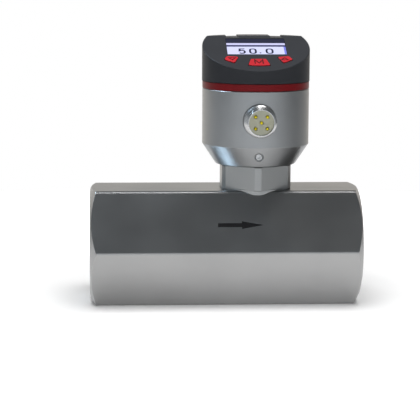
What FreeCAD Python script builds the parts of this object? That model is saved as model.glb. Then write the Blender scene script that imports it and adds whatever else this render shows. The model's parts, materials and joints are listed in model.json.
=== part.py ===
import FreeCAD, Part

import math
import os
import re

import Sketcher

# Turbine flow meter: a hexagonal bar with a threaded port at each end and a bladed rotor inside,
# a screwed neck, and a sensor head that turns on the neck and carries a display that turns on it.
# Frame: X runs with the flow and is zero at the middle of the bar, Y is zero on the bar's middle
# plane with the display and the connector on the -Y side, and Z is zero on the bar's bottom flat.
# Lengths are in millimetres and angles in degrees.

SIZES = [
    # the hexagonal bar and its ports
    ("bar_flats", 50.0, "bar, across flats"),
    ("bar_length", 117.5, "bar, end to end"),
    ("bar_edge_round", 2.0, "rounding of the long edges"),
    ("bar_end_circle", 48.0, "diameter left flat on each end face"),
    ("bar_end_angle", 30.0, "end chamfer, measured from the end face"),
    ("port_bore", 30.3, "inside diameter of the G1 port thread"),
    ("port_mouth", 33.6, "diameter of the port's lead-in"),
    ("port_depth", 19.0, "length of the port thread"),
    ("cartridge_bore", 26.0, "bore that holds the flow straighteners"),
    ("rotor_bore", 24.0, "bore round the rotor"),
    ("rotor_chamber", 18.0, "length of the rotor's chamber between its two shoulders"),
    ("head_offset", 13.5, "distance of the rotor and the head from the bar's middle"),
    # the neck's seat in the bar
    ("seat_depth", 1.7, "depth of the counterbore that holds the neck's collar"),
    ("neck_thread", 20.0, "diameter of the neck's thread"),
    ("neck_thread_length", 5.0, "length of the neck's thread"),
    ("well_diameter", 10.2, "blind well of the pickup"),
    ("well_skin", 1.3, "metal left between the well and the rotor's bore"),
    ("thread_end_gap", 0.2, "depth of a threaded hole past the end of its thread"),
    # clearances and overlaps that the whole meter shares
    ("thread_fit", 0.05, "radial clearance of a screwed joint"),
    ("slip_fit", 0.06, "radial clearance of a joint that turns or slides together"),
    ("close_fit", 0.02, "radial clearance of pieces that stay put"),
    ("blind_end", 0.3, "depth of a blind hole past the end of its screw"),
    ("weld_overlap", 0.5, "overlap of two features of one piece"),
    ("cut_margin", 1.0, "reach of a cut past the material it takes away"),
    # the neck
    ("collar_diameter", 30.9, "neck's round collar"),
    ("collar_lift", 0.05, "hexagon's height above the bar"),
    ("neck_flats", 30.0, "neck, across flats"),
    ("neck_turning", 1.541, "how much the hexagon's corners are turned down, on the diameter"),
    ("neck_hex_length", 10.35, "height of the neck's hexagon"),
    ("neck_chamfer", 0.3, "turned chamfer at both ends of the hexagon"),
    ("stem_diameter", 24.0, "round stem that carries the head"),
    ("stem_length", 13.9, "height of the stem"),
    ("stem_chamfer", 0.8, "chamfer at the top of the stem"),
    ("neck_bore", 10.4, "bore through the neck"),
    ("seal_groove_height", 1.3, "stem's seal groove, from the hexagon to its lower side"),
    ("seal_section", 1.5, "thickness of the seal rings"),
    ("seal_side_gap", 0.225, "room beside a seal ring in its groove"),
    ("lock_groove_width", 2.4, "groove for the lock screw's tip"),
    ("lock_groove_depth", 1.5, "depth of that groove"),
    ("lock_groove_sweep", 336.0, "angle of that groove, which ends at a stop"),
    ("clip_thickness", 1.1, "thickness of the retaining rings"),
    ("clip_groove_depth", 0.65, "depth of the retaining rings' grooves"),
    ("clip_play", 0.05, "play of a retaining ring in its groove"),
    ("clip_lift", 0.15, "stem ring's groove, above the housing's floor"),
    ("clip_band", 1.9, "width of the ports' retaining rings at their thinnest"),
    ("clip_shift", 0.3, "shift of their inside, which thickens them at the top"),
    ("clip_gap_angle", 22.8, "half the angle of their gap"),
    ("eye_diameter", 3.4, "eyes of the retaining rings"),
    ("eye_hole", 1.6, "holes in those eyes"),
    ("eye_inset", 1.3, "distance of the eyes from the bore"),
    ("eye_angle", 25.7, "place of the eyes, from the bottom"),
    ("stem_ring_reach", 2.1, "reach of the stem's ring outside the stem"),
    ("stem_ring_shift", 0.2, "shift of its outside, which thickens it opposite its gap"),
    ("stem_ring_angle", 9.1, "half the angle of its gap"),
    # the rotor and what carries it
    ("rotor_length", 12.0, "length of the rotor"),
    ("rotor_hub", 9.0, "diameter of the rotor's hub and the straighteners' hubs"),
    ("blade_count", 8, "blades on the rotor"),
    ("blade_sweep", 52.0, "turn of each blade from its front edge to its back edge"),
    ("blade_root", 1.3, "blade thickness at the hub"),
    ("blade_tip", 0.8, "blade thickness at the tip"),
    ("blade_setback", 0.3, "distance of the blades' edges from the hub's end faces"),
    ("tip_gap", 0.4, "gap between the blade tips and the bore"),
    ("shaft_diameter", 3.0, "rotor shaft"),
    ("shaft_seat", 5.5, "depth of the shaft in each straightener"),
    ("shaft_bevel", 0.3, "chamfer of the shaft's ends"),
    ("bearing_diameter", 5.0, "outside of the journal bearings"),
    ("bearing_length", 4.0, "length of each journal bearing"),
    ("bearing_gap", 0.04, "radial running clearance on the shaft"),
    ("washer_thickness", 0.8, "thrust washers"),
    ("washer_diameter", 6.4, "outside of the thrust washers"),
    ("hub_reach", 2.0, "reach of each straightener's hub into the rotor's chamber"),
    ("inlet_length", 22.0, "length of the inlet straightener"),
    ("outlet_length", 14.0, "length of the outlet straightener"),
    ("vane_thickness", 1.0, "straightener vanes"),
    ("vane_count", 6, "vanes on each straightener"),
    ("vane_setback", 1.0, "distance of the vanes from the straightener's ends"),
    ("cartridge_fit", 0.05, "radial clearance of the straighteners"),
    # the pickup in the well
    ("pickup_diameter", 9.8, "pickup's case"),
    ("pickup_wall", 0.5, "wall of the pickup's case"),
    ("pickup_floor_gap", 0.2, "gap between the well's floor and the pickup's case"),
    ("pickup_length", 22.0, "length of the pickup's case"),
    ("magnet_diameter", 4.0, "pickup's magnet"),
    ("magnet_length", 8.0, "length of the magnet"),
    ("coil_diameter", 8.0, "outside of the pickup's winding"),
    ("coil_length", 12.0, "length of the winding's bobbin"),
    ("bobbin_flange", 0.6, "thickness of the bobbin's flanges"),
    ("bobbin_wall", 0.5, "wall of the bobbin round the magnet"),
    ("pickup_play", 0.1, "play of the magnet and the bobbin"),
    ("pickup_nut_height", 3.0, "ring nut that holds the pickup down"),
    ("nut_slot", 1.2, "width of that nut's slot"),
    # the sensor housing
    ("turn_gap", 0.15, "gap between two faces that turn on each other"),
    ("housing_diameter", 46.5, "housing's outside"),
    ("housing_height", 33.0, "housing, from its bottom face to its rim"),
    ("cone_foot", 34.7, "diameter at the foot of the housing's cone"),
    ("cone_height", 8.9, "height of the cone"),
    ("foot_round", 1.2, "rounding at the foot of the cone"),
    ("housing_wall", 2.25, "wall of the housing"),
    ("housing_floor", 10.9, "height of the solid foot round the stem"),
    ("rim_chamfer", 0.3, "chamfer of the housing's upper edge"),
    ("accent_height", 3.2, "coloured ring between housing and display"),
    ("accent_edge", 0.2, "chamfer of the coloured ring"),
    # the lock screw
    ("screw_height", 4.7, "lock screw's height above the housing's bottom face"),
    ("screw_diameter", 3.0, "lock screw"),
    ("screw_pocket", 3.9, "clearance hole in front of the lock screw"),
    ("screw_recess", 1.97, "depth of that hole in the cone"),
    ("screw_stand", 0.8, "lock screw's reach out of that floor"),
    ("screw_tip", 2.0, "diameter of the lock screw's tip"),
    ("screw_tip_gap", 0.3, "gap between that tip and the floor of its groove"),
    ("screw_edge", 0.2, "chamfer of the lock screw"),
    ("screw_socket", 1.5, "lock screw's socket, across flats"),
    # the cable connector
    ("connector_height", 20.6, "connector's axis above the housing's bottom face"),
    ("connector_thread", 12.0, "outside of the connector's barrel"),
    ("connector_reach", 9.6, "connector's barrel, from its seat to its rim"),
    ("seat_cut", 1.35, "depth of the connector's seat in the housing"),
    ("seat_gap", 0.15, "gap round the connector's flange in that seat"),
    ("connector_flange", 14.0, "connector's flange"),
    ("connector_flange_height", 1.7, "height of the flange's straight side"),
    ("connector_shoulder", 2.3, "height of the shoulder between flange and barrel"),
    ("barrel_edge", 0.3, "chamfer of the barrel's rim"),
    ("connector_cavity", 11.0, "cavity inside the barrel's rim"),
    ("connector_cavity_depth", 0.9, "depth of that cavity, down to the insert"),
    ("insert_flange", 0.8, "thickness of the insert's rim"),
    ("connector_bore", 9.2, "bore that holds the insulating insert"),
    ("connector_tail", 8.0, "length of the connector behind its seat"),
    ("insert_overhang", 1.0, "insert's reach behind the connector's tail"),
    ("pin_overhang", 3.0, "pins' reach behind the connector's tail"),
    ("shell_seal_offset", 0.15, "seal groove's distance from the barrel"),
    ("shell_seal_section", 0.5, "thickness of the connector's seal ring"),
    ("pin_diameter", 1.3, "contact pins"),
    ("pin_well", 1.9, "well round each pin in the insert's face"),
    ("pin_well_depth", 0.6, "depth of that well"),
    ("pin_pitch", 5.0, "side of the square of the four outer pins"),
    ("pin_reach", 0.7, "reach of the pins above the insert"),
    ("nut_flats", 14.0, "connector's nut, across flats"),
    ("nut_thickness", 2.5, "thickness of the connector's nut"),
    ("nut_seat", 2.75, "distance of the nut from the connector's seat"),
    # the electronics in the housing
    ("carrier_inside", 30.0, "inside of the board carrier's ring"),
    ("carrier_gap", 0.3, "gap between the board carrier and the housing"),
    ("carrier_height", 2.0, "thickness of the board carrier's ring"),
    ("guide_height", 14.0, "height of the two board guides"),
    ("guide_width", 3.4, "thickness of a board guide across the board"),
    ("guide_depth", 5.2, "depth of a board guide along the board"),
    ("board_thickness", 1.6, "main circuit board"),
    ("board_side_gap", 4.0, "distance of the main board's edges from the housing's wall"),
    ("board_height", 12.6, "height of the main board"),
    ("board_offset", 3.5, "distance of the main board behind the head's axis"),
    ("component_height", 2.5, "height of the components on the main board"),
    ("slot_clearance", 0.1, "clearance of the board in its slots"),
    ("stop_reach", 18.1, "height of the carrier's stop post above the housing's floor"),
    ("stop_width", 3.0, "width of the stop post and of the cap's lug"),
    ("board_rise", 3.6, "main board's lower edge above the housing's floor"),
    ("carrier_screw_angle", 50.0, "place of the carrier's screws, from the X axis"),
    ("small_screw", 2.5, "diameter of the carrier's screws"),
    ("small_head", 4.4, "head of the carrier's screws"),
    ("small_head_height", 1.4, "height of those heads"),
    ("small_screw_depth", 5.0, "length of those screws in the housing"),
    # the display cap
    ("cap_overhang", 0.15, "display cap's reach outside the housing"),
    ("cap_height", 18.65, "cap, from the coloured ring to its flat top"),
    ("face_height", 14.75, "sloping face above the cap's foot, on the head's axis"),
    ("face_slope", 21.3, "slope of the face"),
    ("cap_wall", 2.0, "wall of the cap"),
    ("cap_edge", 0.5, "rounding of the cap's upper edges"),
    ("spigot_length", 6.9, "cap's spigot in the housing"),
    ("spigot_wall", 2.04, "wall of the spigot"),
    ("notch_width", 5.45, "grooves in the cap's flat top"),
    ("notch_depth", 0.6, "depth of those grooves"),
    ("notch_pitch", 19.4, "distance between those grooves"),
    ("lug_reach", 1.0, "reach of the cap's stop lug below the spigot"),
    ("wire_section", 0.8, "thickness of the wire ring that keeps the cap"),
    ("wire_gap_angle", 5.0, "half the angle of the wire ring's gap"),
    ("wire_drop", 4.2, "wire ring's distance below the cap's foot"),
    ("cap_seal_section", 1.2, "thickness of the cap's seal ring"),
    ("seal_drop", 5.8, "cap seal's distance below the cap's foot"),
    # the screen
    ("screen_side_margin", 10.5, "window's sides, in from the cap's"),
    ("screen_height", 16.2, "height of that window, along the slope"),
    ("screen_shift", -0.3, "screen's centre, up the slope from the head's axis"),
    ("screen_gap", 0.12, "gap round the window pane"),
    ("pane_recess", 0.15, "window pane's depth below the face"),
    ("pane_rebate", 0.9, "rebate of the pane behind the face"),
    ("pane_flange", 0.9, "thickness of that rebate"),
    ("panel_thickness", 1.8, "display panel"),
    ("stack_gap", 0.05, "gap between the pieces of the display stack"),
    ("frame_wall", 0.6, "wall of the panel's frame"),
    ("panel_play", 0.1, "play of the pane and the panel in the frame"),
    ("board_drop", 7.0, "display board's depth below the face"),
    ("display_board_thickness", 1.2, "thickness of the display board"),
    ("board_margin", 1.9, "gap between the display board and the cap's wall"),
    ("display_board_shift", -2.2, "display board's centre, up the slope"),
    ("boss_diameter", 3.4, "screw bosses under the face"),
    ("boss_gap", 0.2, "gap between a boss and the panel's frame"),
    ("upper_boss_margin", 12.9, "upper bosses' middles, in from the cap's sides"),
    ("side_boss_drop", 5.0, "side bosses' distance down the slope"),
    ("tiny_screw", 2.0, "diameter of the display board's screws"),
    ("tiny_head", 3.6, "head of those screws"),
    ("tiny_head_height", 1.2, "height of those heads"),
    ("tiny_screw_depth", 4.0, "length of those screws in their bosses"),
    # the three keys
    ("key_margin", 3.1, "distance of the keys' outer sides from the cap's, on the face"),
    ("menu_key_gap", 3.2, "gap between the panel's frame and the middle key's flange"),
    ("menu_key_half", 3.3, "half the width of the middle key's upper side"),
    ("menu_key_angle", 13.4, "half the angle of the middle key's outer side"),
    ("side_key_gap", 0.4, "gap between the panel's frame and the side keys' flanges"),
    ("side_key_dip", 0.8, "drop of the side keys' upper side towards the middle"),
    ("side_key_near", 8.4, "side keys' inner upper corner, from the middle"),
    ("side_key_far", 13.4, "side keys' outer upper corner, from the middle"),
    ("side_key_start", 31.0, "angle at which the side keys' outer side starts"),
    ("side_key_end", 46.0, "angle at which it ends"),
    ("stem_margin", 3.3, "distance of the keys' stems from their outer sides"),
    ("side_stem_side", 11.0406, "side keys' stems, from the middle"),
    ("side_stem_drop", 2.0269, "side keys' stems, below those keys' upper sides"),
    ("key_raise", 0.4, "keys' height above the face"),
    ("key_gap", 0.2, "gap round a key"),
    ("key_flange", 0.9, "thickness of a key's flange behind the face"),
    ("key_flange_reach", 0.5, "width of a key's flange"),
    ("key_flange_gap", 0.05, "gap between a key's flange and the face"),
    ("key_travel", 0.5, "travel of a key"),
    ("key_corner", 0.6, "rounding of a key's corners"),
    ("key_edge", 0.2, "rounding of a key's upper edges"),
    ("key_stem", 2.4, "diameter of a key's stem"),
    ("switch_size", 3.0, "side of a key switch"),
    ("switch_height", 1.7, "height of a key switch and its plunger"),
    ("switch_body", 1.2, "height of a key switch without its plunger"),
]

# Shared places, as formulas in the sheet's names.
FLOW_AXIS = "bar_flats / 2"
NECK_TOP = "(bar_flats + collar_lift + neck_hex_length)"
HOUSING_FOOT = f"({NECK_TOP} + turn_gap)"
HOUSING_RIM = f"({HOUSING_FOOT} + housing_height)"
HOUSING_INSIDE = "(housing_diameter - 2 * housing_wall)"
CAP_FOOT = f"({HOUSING_RIM} + accent_height)"
FACE_CENTRE = f"({CAP_FOOT} + face_height)"
ROTOR_RADIUS = "(rotor_bore / 2 - tip_gap)"
WELL_FLOOR = "(bar_flats / 2 + rotor_bore / 2 + well_skin)"
SPIGOT_OUTSIDE = f"({HOUSING_INSIDE} - 2 * slip_fit)"
SPIGOT_INSIDE = f"({SPIGOT_OUTSIDE} - 2 * spigot_wall)"
CAP_DIAMETER = "(housing_diameter + 2 * cap_overhang)"
CONNECTOR_AXIS = f"({HOUSING_FOOT} + connector_height)"
CONNECTOR_SEAT = "(housing_diameter / 2 - seat_cut)"
CONE_SLOPE = "((housing_diameter - cone_foot) / 2 / cone_height)"
SCREW_SEAT = f"(cone_foot / 2 + screw_height * {CONE_SLOPE} - screw_recess)"
CARRIER_OUTSIDE = f"({HOUSING_INSIDE} - 2 * carrier_gap)"
CARRIER_SCREW_RADIUS = f"(carrier_inside + {CARRIER_OUTSIDE}) / 4"
CARRIER_SCREWS = [
    (f"{x} * {CARRIER_SCREW_RADIUS} * cos(carrier_screw_angle)",
     f"{y} * {CARRIER_SCREW_RADIUS} * sin(carrier_screw_angle)")
    for x in (-1, 1) for y in (-1, 1)
]
BOARD_WIDTH = f"({HOUSING_INSIDE} - 2 * board_side_gap)"
SEAL_HALF = "(seal_section / 2 + seal_side_gap)"
SEAL_MIDDLE = f"(collar_lift + neck_hex_length + seal_groove_height + {SEAL_HALF})"
LOCK_MIDDLE = "(collar_lift + neck_hex_length + turn_gap + screw_height)"

# Places on the face, up and down the slope: the panel's frame, the bosses, and the keys' sides.
FRAME_MARGIN = "(pane_rebate + panel_play + frame_wall)"
FRAME_FOOT = f"(screen_height / 2 + {FRAME_MARGIN} - screen_shift)"
BOSS_STEP = "(boss_gap + boss_diameter / 2)"
UPPER_BOSS = f"(screen_shift + screen_height / 2 + {FRAME_MARGIN} + {BOSS_STEP})"
UPPER_BOSS_SIDE = f"({CAP_DIAMETER} / 2 - upper_boss_margin)"
SCREEN_SIDE = f"({CAP_DIAMETER} / 2 - screen_side_margin)"
SIDE_BOSS = f"({SCREEN_SIDE} + {FRAME_MARGIN} + {BOSS_STEP})"
KEY_RIM = f"({CAP_DIAMETER} / 2 - key_margin)"
MENU_KEY_ROW = f"({FRAME_FOOT} + menu_key_gap + key_flange_reach)"
SIDE_KEY_ROW = f"({FRAME_FOOT} + side_key_gap + key_flange_reach)"
STEM_RADIUS = f"({KEY_RIM} - stem_margin)"

X_AXIS = FreeCAD.Vector(1, 0, 0)
Y_AXIS = FreeCAD.Vector(0, 1, 0)
Z_AXIS = FreeCAD.Vector(0, 0, 1)

# Tolerance for telling whether an edge lies where it is looked for.
NEAR = 0.02

MODEL = FreeCAD.newDocument("FlowMeter")
SHEET = MODEL.addObject("Spreadsheet::Sheet", "Sizes")
PIECES = []


def fill_sheet():
    """Write each size in a row of its own: what it is, its value and its name."""
    for row, (alias, size, meaning) in enumerate(SIZES, start=1):
        SHEET.set(f"A{row}", meaning)
        SHEET.set(f"B{row}", str(size))
        SHEET.setAlias(f"B{row}", alias)
    MODEL.recompute()


def bound(formula):
    """Turn a formula in size names into an expression on the sheet."""
    return re.sub(r"\b([a-z]+(?:_[a-z]+)+)\b", r"Sizes.\1", formula)


def value(formula):
    """Give a formula's present value."""
    return float(SHEET.evalExpression(bound(formula)))


def place(piece, x="0", y="0", z="0", axis=None, angle="0"):
    """Put a piece at a place worked out from the sheet, turned about one axis."""
    if axis is not None:
        piece.Placement = FreeCAD.Placement(FreeCAD.Vector(), FreeCAD.Rotation(axis, value(angle)))
        piece.setExpression(".Placement.Rotation.Angle", bound(angle))
    for letter, formula in (("x", x), ("y", y), ("z", z)):
        if formula != "0":
            piece.setExpression(f".Placement.Base.{letter}", bound(formula))


def new_body(label, **where):
    """Start a sub-part as a body of its own."""
    body = MODEL.addObject("PartDesign::Body", label)
    body.Label = label
    body.AllowCompound = True
    place(body, **where)
    PIECES.append(body)
    return body


def new_sketch(body, role, x="0", y="0", z="0", tilt=None):
    """Attach a sketch to one of the body's origin planes, shifted and tilted about its own X."""
    sketch = body.newObject("Sketcher::SketchObject", body.Name + "_sketch")
    plane = next(part for part in body.Origin.OriginFeatures if part.Role == role)
    sketch.AttachmentSupport = [(plane, "")]
    sketch.MapMode = "FlatFace"
    if tilt is not None:
        turned = FreeCAD.Rotation(X_AXIS, value(tilt))
        sketch.AttachmentOffset = FreeCAD.Placement(FreeCAD.Vector(), turned)
        sketch.setExpression(".AttachmentOffset.Rotation.Angle", bound(tilt))
    for letter, formula in (("x", x), ("y", y), ("z", z)):
        if formula != "0":
            sketch.setExpression(f".AttachmentOffset.Base.{letter}", bound(formula))
    return sketch


def hold(sketch, kind, curve, point, formula):
    """Hold a point of a curve at a distance from the sketch's origin along X or Y."""
    if formula == "0":
        axis = -2 if kind == "DistanceX" else -1
        sketch.addConstraint(Sketcher.Constraint("PointOnObject", curve, point, axis))
        return
    size = value(formula)
    index = sketch.addConstraint(Sketcher.Constraint(kind, -1, 1, curve, point, size))
    sketch.setExpression(f"Constraints[{index}]", bound(formula))


def outline(sketch, corners):
    """Close a polygon through corners given as pairs of formulas."""
    points = [FreeCAD.Vector(value(x), value(y), 0) for x, y in corners]
    first = sketch.GeometryCount
    count = len(points)
    for number, point in enumerate(points):
        sketch.addGeometry(Part.LineSegment(point, points[(number + 1) % count]))
    for number, (x, y) in enumerate(corners):
        line = first + number
        before = first + (number - 1) % count
        sketch.addConstraint(Sketcher.Constraint("Coincident", before, 2, line, 1))
        hold(sketch, "DistanceX", line, 1, x)
        hold(sketch, "DistanceY", line, 1, y)
    return sketch


def rectangle(sketch, left, low, right, high):
    """Draw an upright rectangle between two corners."""
    return outline(sketch, [(left, low), (right, low), (right, high), (left, high)])


def circle(sketch, diameter, x="0", y="0"):
    """Draw a circle of a given diameter."""
    centre = FreeCAD.Vector(value(x), value(y), 0)
    curve = sketch.addGeometry(Part.Circle(centre, Z_AXIS, value(diameter) / 2))
    hold(sketch, "DistanceX", curve, 3, x)
    hold(sketch, "DistanceY", curve, 3, y)
    index = sketch.addConstraint(Sketcher.Constraint("Diameter", curve, value(diameter)))
    sketch.setExpression(f"Constraints[{index}]", bound(diameter))
    return sketch


def hexagon(sketch, flats, x="0", y="0", corner_up=False):
    """Draw a hexagon from its size across flats, with a corner or a flat uppermost."""
    corner = f"({flats}) / sqrt(3)"
    half_flat = f"({flats}) / 2"
    ring = [("1", "0"), ("0.5", "1"), ("-0.5", "1"), ("-1", "0"), ("-0.5", "-1"), ("0.5", "-1")]
    corners = []
    for along, across in ring:
        first = f"({along}) * ({corner})"
        second = f"({across}) * ({half_flat})"
        if corner_up:
            first, second = second, first
        corners.append((f"({x}) + {first}", f"({y}) + {second}"))
    return outline(sketch, corners)


def pad(body, sketch, length, symmetric=False, downwards=False):
    """Extrude a sketch into material."""
    feature = body.newObject("PartDesign::Pad", body.Name + "_pad")
    feature.Profile = (sketch, [""])
    feature.setExpression("Length", bound(length))
    feature.SideType = "Symmetric" if symmetric else "One side"
    feature.Reversed = downwards
    finish(feature)
    return feature


def revolve(body, sketch, axis):
    """Turn a sketch into material about one of its own axes."""
    feature = body.newObject("PartDesign::Revolution", body.Name + "_turned")
    feature.Profile = (sketch, [""])
    feature.ReferenceAxis = (sketch, [axis])
    feature.Angle = 360
    finish(feature)
    return feature


def pocket(body, sketch, depth=None, symmetric=False, upwards=False):
    """Cut a sketch away, right through where no depth is given."""
    before = body.Tip.Shape.Volume
    feature = body.newObject("PartDesign::Pocket", body.Name + "_pocket")
    feature.Profile = (sketch, [""])
    if depth is None:
        feature.Type = "ThroughAll"
    else:
        feature.setExpression("Length", bound(depth))
    feature.SideType = "Symmetric" if symmetric else "One side"
    feature.Reversed = upwards
    finish(feature)
    must_shrink(feature, before)
    return feature


def groove(body, sketch, axis, sweep="360"):
    """Turn a sketch away about one of its own axes, centred on the sketch when not a full turn."""
    before = body.Tip.Shape.Volume
    feature = body.newObject("PartDesign::Groove", body.Name + "_groove")
    feature.Profile = (sketch, [""])
    feature.ReferenceAxis = (sketch, [axis])
    feature.setExpression("Angle", bound(sweep))
    feature.Midplane = sweep != "360"
    finish(feature)
    must_shrink(feature, before)
    return feature


def polar(body, feature, role, count):
    """Repeat a feature evenly round one of the body's axes."""
    pattern = body.newObject("PartDesign::PolarPattern", body.Name + "_pattern")
    pattern.Originals = [feature]
    axis = next(part for part in body.Origin.OriginFeatures if part.Role == role)
    pattern.Axis = (axis, [""])
    pattern.Angle = 360
    pattern.setExpression("Occurrences", bound(count))
    body.Tip = pattern
    finish(pattern)
    return pattern


def finish(feature):
    """Recompute and stop at a feature that failed."""
    MODEL.recompute()
    if not feature.isValid() or feature.Shape.isNull():
        raise RuntimeError(f"{feature.Label} failed: {feature.State}")


def must_shrink(feature, before):
    """Stop at a cut that took nothing away."""
    if feature.Shape.Volume >= before - 1e-6:
        raise RuntimeError(f"{feature.Label} cuts nothing")


def dress(body, kind, size, wanted, angle=None):
    """Round or chamfer the edges of the body's present shape that a test picks."""
    base = body.Tip
    names = [f"Edge{number}" for number, edge in enumerate(base.Shape.Edges, start=1) if wanted(edge)]
    if not names:
        raise RuntimeError(f"{body.Label}: no edge to dress")
    feature = body.newObject("PartDesign::" + kind, body.Name + "_" + kind.lower())
    feature.Base = (base, names)
    feature.setExpression("Radius" if kind == "Fillet" else "Size", bound(size))
    if angle is not None:
        feature.ChamferType = "Distance and Angle"
        feature.setExpression("Angle", bound(angle))
    finish(feature)
    return feature


def is_circle(edge, radius, level=None, axis=2):
    """Tell whether an edge is a full circle of a given radius, at a given level if one is given."""
    curve = edge.Curve
    if not isinstance(curve, Part.Circle) or abs(curve.Radius - radius) > NEAR:
        return False
    return level is None or abs(curve.Center[axis] - level) < NEAR


def runs_along(edge, direction):
    """Tell whether an edge is a straight line along a direction."""
    if not isinstance(edge.Curve, (Part.Line, Part.LineSegment)):
        return False
    return abs(abs(edge.Curve.Direction.dot(direction)) - 1) < 1e-6


# ---------------------------------------------------------------- the bar and its cartridge


def make_meter_body():
    """Hexagonal bar with turned ends, the stepped flow bore and the neck's seat."""
    body = new_body("meter_body")
    section = new_sketch(body, "YZ_Plane", y=FLOW_AXIS)
    hexagon(section, "bar_flats")
    pad(body, section, "bar_length", symmetric=True)
    dress(body, "Fillet", "bar_edge_round", lambda edge: runs_along(edge, X_AXIS))

    ends = new_sketch(body, "XZ_Plane", y=FLOW_AXIS)
    outer = "(bar_flats / sqrt(3) + cut_margin)"
    for side in ("1", "-1"):
        face = f"{side} * bar_length / 2"
        back = f"{side} * (bar_length / 2 - ({outer} - bar_end_circle / 2) * tan(bar_end_angle))"
        outline(ends, [(face, "bar_end_circle / 2"), (face, outer), (back, outer)])
    groove(body, ends, "H_Axis")

    bore = new_sketch(body, "XZ_Plane", y=FLOW_AXIS)
    outline(bore, flow_bore_corners())
    groove(body, bore, "H_Axis")

    grooves = new_sketch(body, "XZ_Plane", y=FLOW_AXIS)
    deep = "cartridge_bore / 2 + clip_groove_depth"
    for near, far in ring_groove_sides():
        rectangle(grooves, near, "cartridge_bore / 2 - cut_margin", far, deep)
    groove(body, grooves, "H_Axis")

    seat = new_sketch(body, "XZ_Plane", x="head_offset", y="bar_flats")
    thread_floor = "-(seat_depth + neck_thread_length + thread_end_gap)"
    well_floor = f"{WELL_FLOOR} - bar_flats"
    seal_pocket = "neck_thread / 2 + seal_section + seal_side_gap"
    outline(seat, [
        ("0", "cut_margin"),
        ("collar_diameter / 2 + thread_fit", "cut_margin"),
        ("collar_diameter / 2 + thread_fit", "-seat_depth"),
        (seal_pocket, "-seat_depth"),
        (seal_pocket, "-(seat_depth + seal_section)"),
        ("neck_thread / 2 + thread_fit", "-(seat_depth + seal_section)"),
        ("neck_thread / 2 + thread_fit", thread_floor),
        ("well_diameter / 2", thread_floor),
        ("well_diameter / 2", well_floor),
        ("0", well_floor),
    ])
    groove(body, seat, "V_Axis")


def flow_bore_corners():
    """Corners of the stepped bore: port, cartridge bore, rotor chamber, cartridge bore, port."""
    half = "bar_length / 2"
    lead = "(port_mouth - port_bore) / 2"
    steps = [
        (half, "0"),
        (half, "port_mouth / 2"),
        (f"{half} - {lead}", "port_bore / 2"),
        (f"{half} - port_depth", "port_bore / 2"),
        (f"{half} - port_depth", "cartridge_bore / 2"),
    ]
    inlet = [(f"-({x})", radius) for x, radius in steps]
    inlet += [
        ("head_offset - rotor_chamber / 2", "cartridge_bore / 2"),
        ("head_offset - rotor_chamber / 2", "rotor_bore / 2"),
    ]
    outlet = [
        ("head_offset + rotor_chamber / 2", "rotor_bore / 2"),
        ("head_offset + rotor_chamber / 2", "cartridge_bore / 2"),
    ]
    return inlet + outlet + steps[::-1]


def ring_groove_sides():
    """Inner and outer side, along the bar, of the groove of each retaining ring."""
    inlet = "head_offset - rotor_chamber / 2 - inlet_length"
    outlet = "head_offset + rotor_chamber / 2 + outlet_length"
    return [
        (inlet, f"{inlet} - clip_thickness - 2 * clip_play"),
        (outlet, f"{outlet} + clip_thickness + 2 * clip_play"),
    ]


def make_straightener(label, length, angle):
    """Ring, hub with a round nose, and radial vanes; its seat is at its own origin.

    The piece runs from its seat towards -X before it is turned to its side of the rotor.
    """
    side = "-1" if angle == "0" else "1"
    body = new_body(label, x=f"head_offset + {side} * rotor_chamber / 2", z=FLOW_AXIS,
                    axis=Z_AXIS, angle=angle)
    ring = new_sketch(body, "XZ_Plane")
    rectangle(ring, f"-{length}", "rotor_bore / 2", "0", "cartridge_bore / 2 - cartridge_fit")
    revolve(body, ring, "H_Axis")

    vane = new_sketch(body, "XZ_Plane")
    rectangle(vane, f"vane_setback - {length}", "rotor_hub / 2 - weld_overlap",
              "-vane_setback", "rotor_bore / 2 + weld_overlap")
    blade = pad(body, vane, "vane_thickness", symmetric=True)
    polar(body, blade, "X_Axis", "vane_count")

    hub = new_sketch(body, "XZ_Plane")
    nose = f"rotor_hub / 2 - {length}"
    outline(hub, [
        (nose, "0"),
        ("hub_reach - shaft_seat - blind_end", "0"),
        ("hub_reach - shaft_seat - blind_end", "shaft_diameter / 2 + close_fit"),
        ("hub_reach", "shaft_diameter / 2 + close_fit"),
        ("hub_reach", "rotor_hub / 2"),
        (nose, "rotor_hub / 2"),
    ])
    revolve(body, hub, "H_Axis")

    tip = new_sketch(body, "XZ_Plane")
    quarter_dome(tip, nose, "rotor_hub / 2")
    revolve(body, tip, "H_Axis")
    return body


def quarter_dome(sketch, centre, radius):
    """Quarter disc to the left of a point on the sketch's X axis, which turns into a dome."""
    middle = FreeCAD.Vector(value(centre), 0, 0)
    size = value(radius)
    disc = Part.Circle(middle, Z_AXIS, size)
    arc = sketch.addGeometry(Part.ArcOfCircle(disc, math.pi / 2, math.pi))
    floor = sketch.addGeometry(Part.LineSegment(middle - FreeCAD.Vector(size, 0, 0), middle))
    wall = sketch.addGeometry(Part.LineSegment(middle, middle + FreeCAD.Vector(0, size, 0)))
    sketch.addConstraint(Sketcher.Constraint("Coincident", arc, 2, floor, 1))
    sketch.addConstraint(Sketcher.Constraint("Coincident", floor, 2, wall, 1))
    sketch.addConstraint(Sketcher.Constraint("Coincident", wall, 2, arc, 1))
    sketch.addConstraint(Sketcher.Constraint("Coincident", arc, 3, floor, 2))
    sketch.addConstraint(Sketcher.Constraint("Vertical", wall))
    sketch.addConstraint(Sketcher.Constraint("Horizontal", floor))
    hold(sketch, "DistanceY", floor, 2, "0")
    hold(sketch, "DistanceX", floor, 2, centre)
    index = sketch.addConstraint(Sketcher.Constraint("Radius", arc, size))
    sketch.setExpression(f"Constraints[{index}]", bound(radius))


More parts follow.
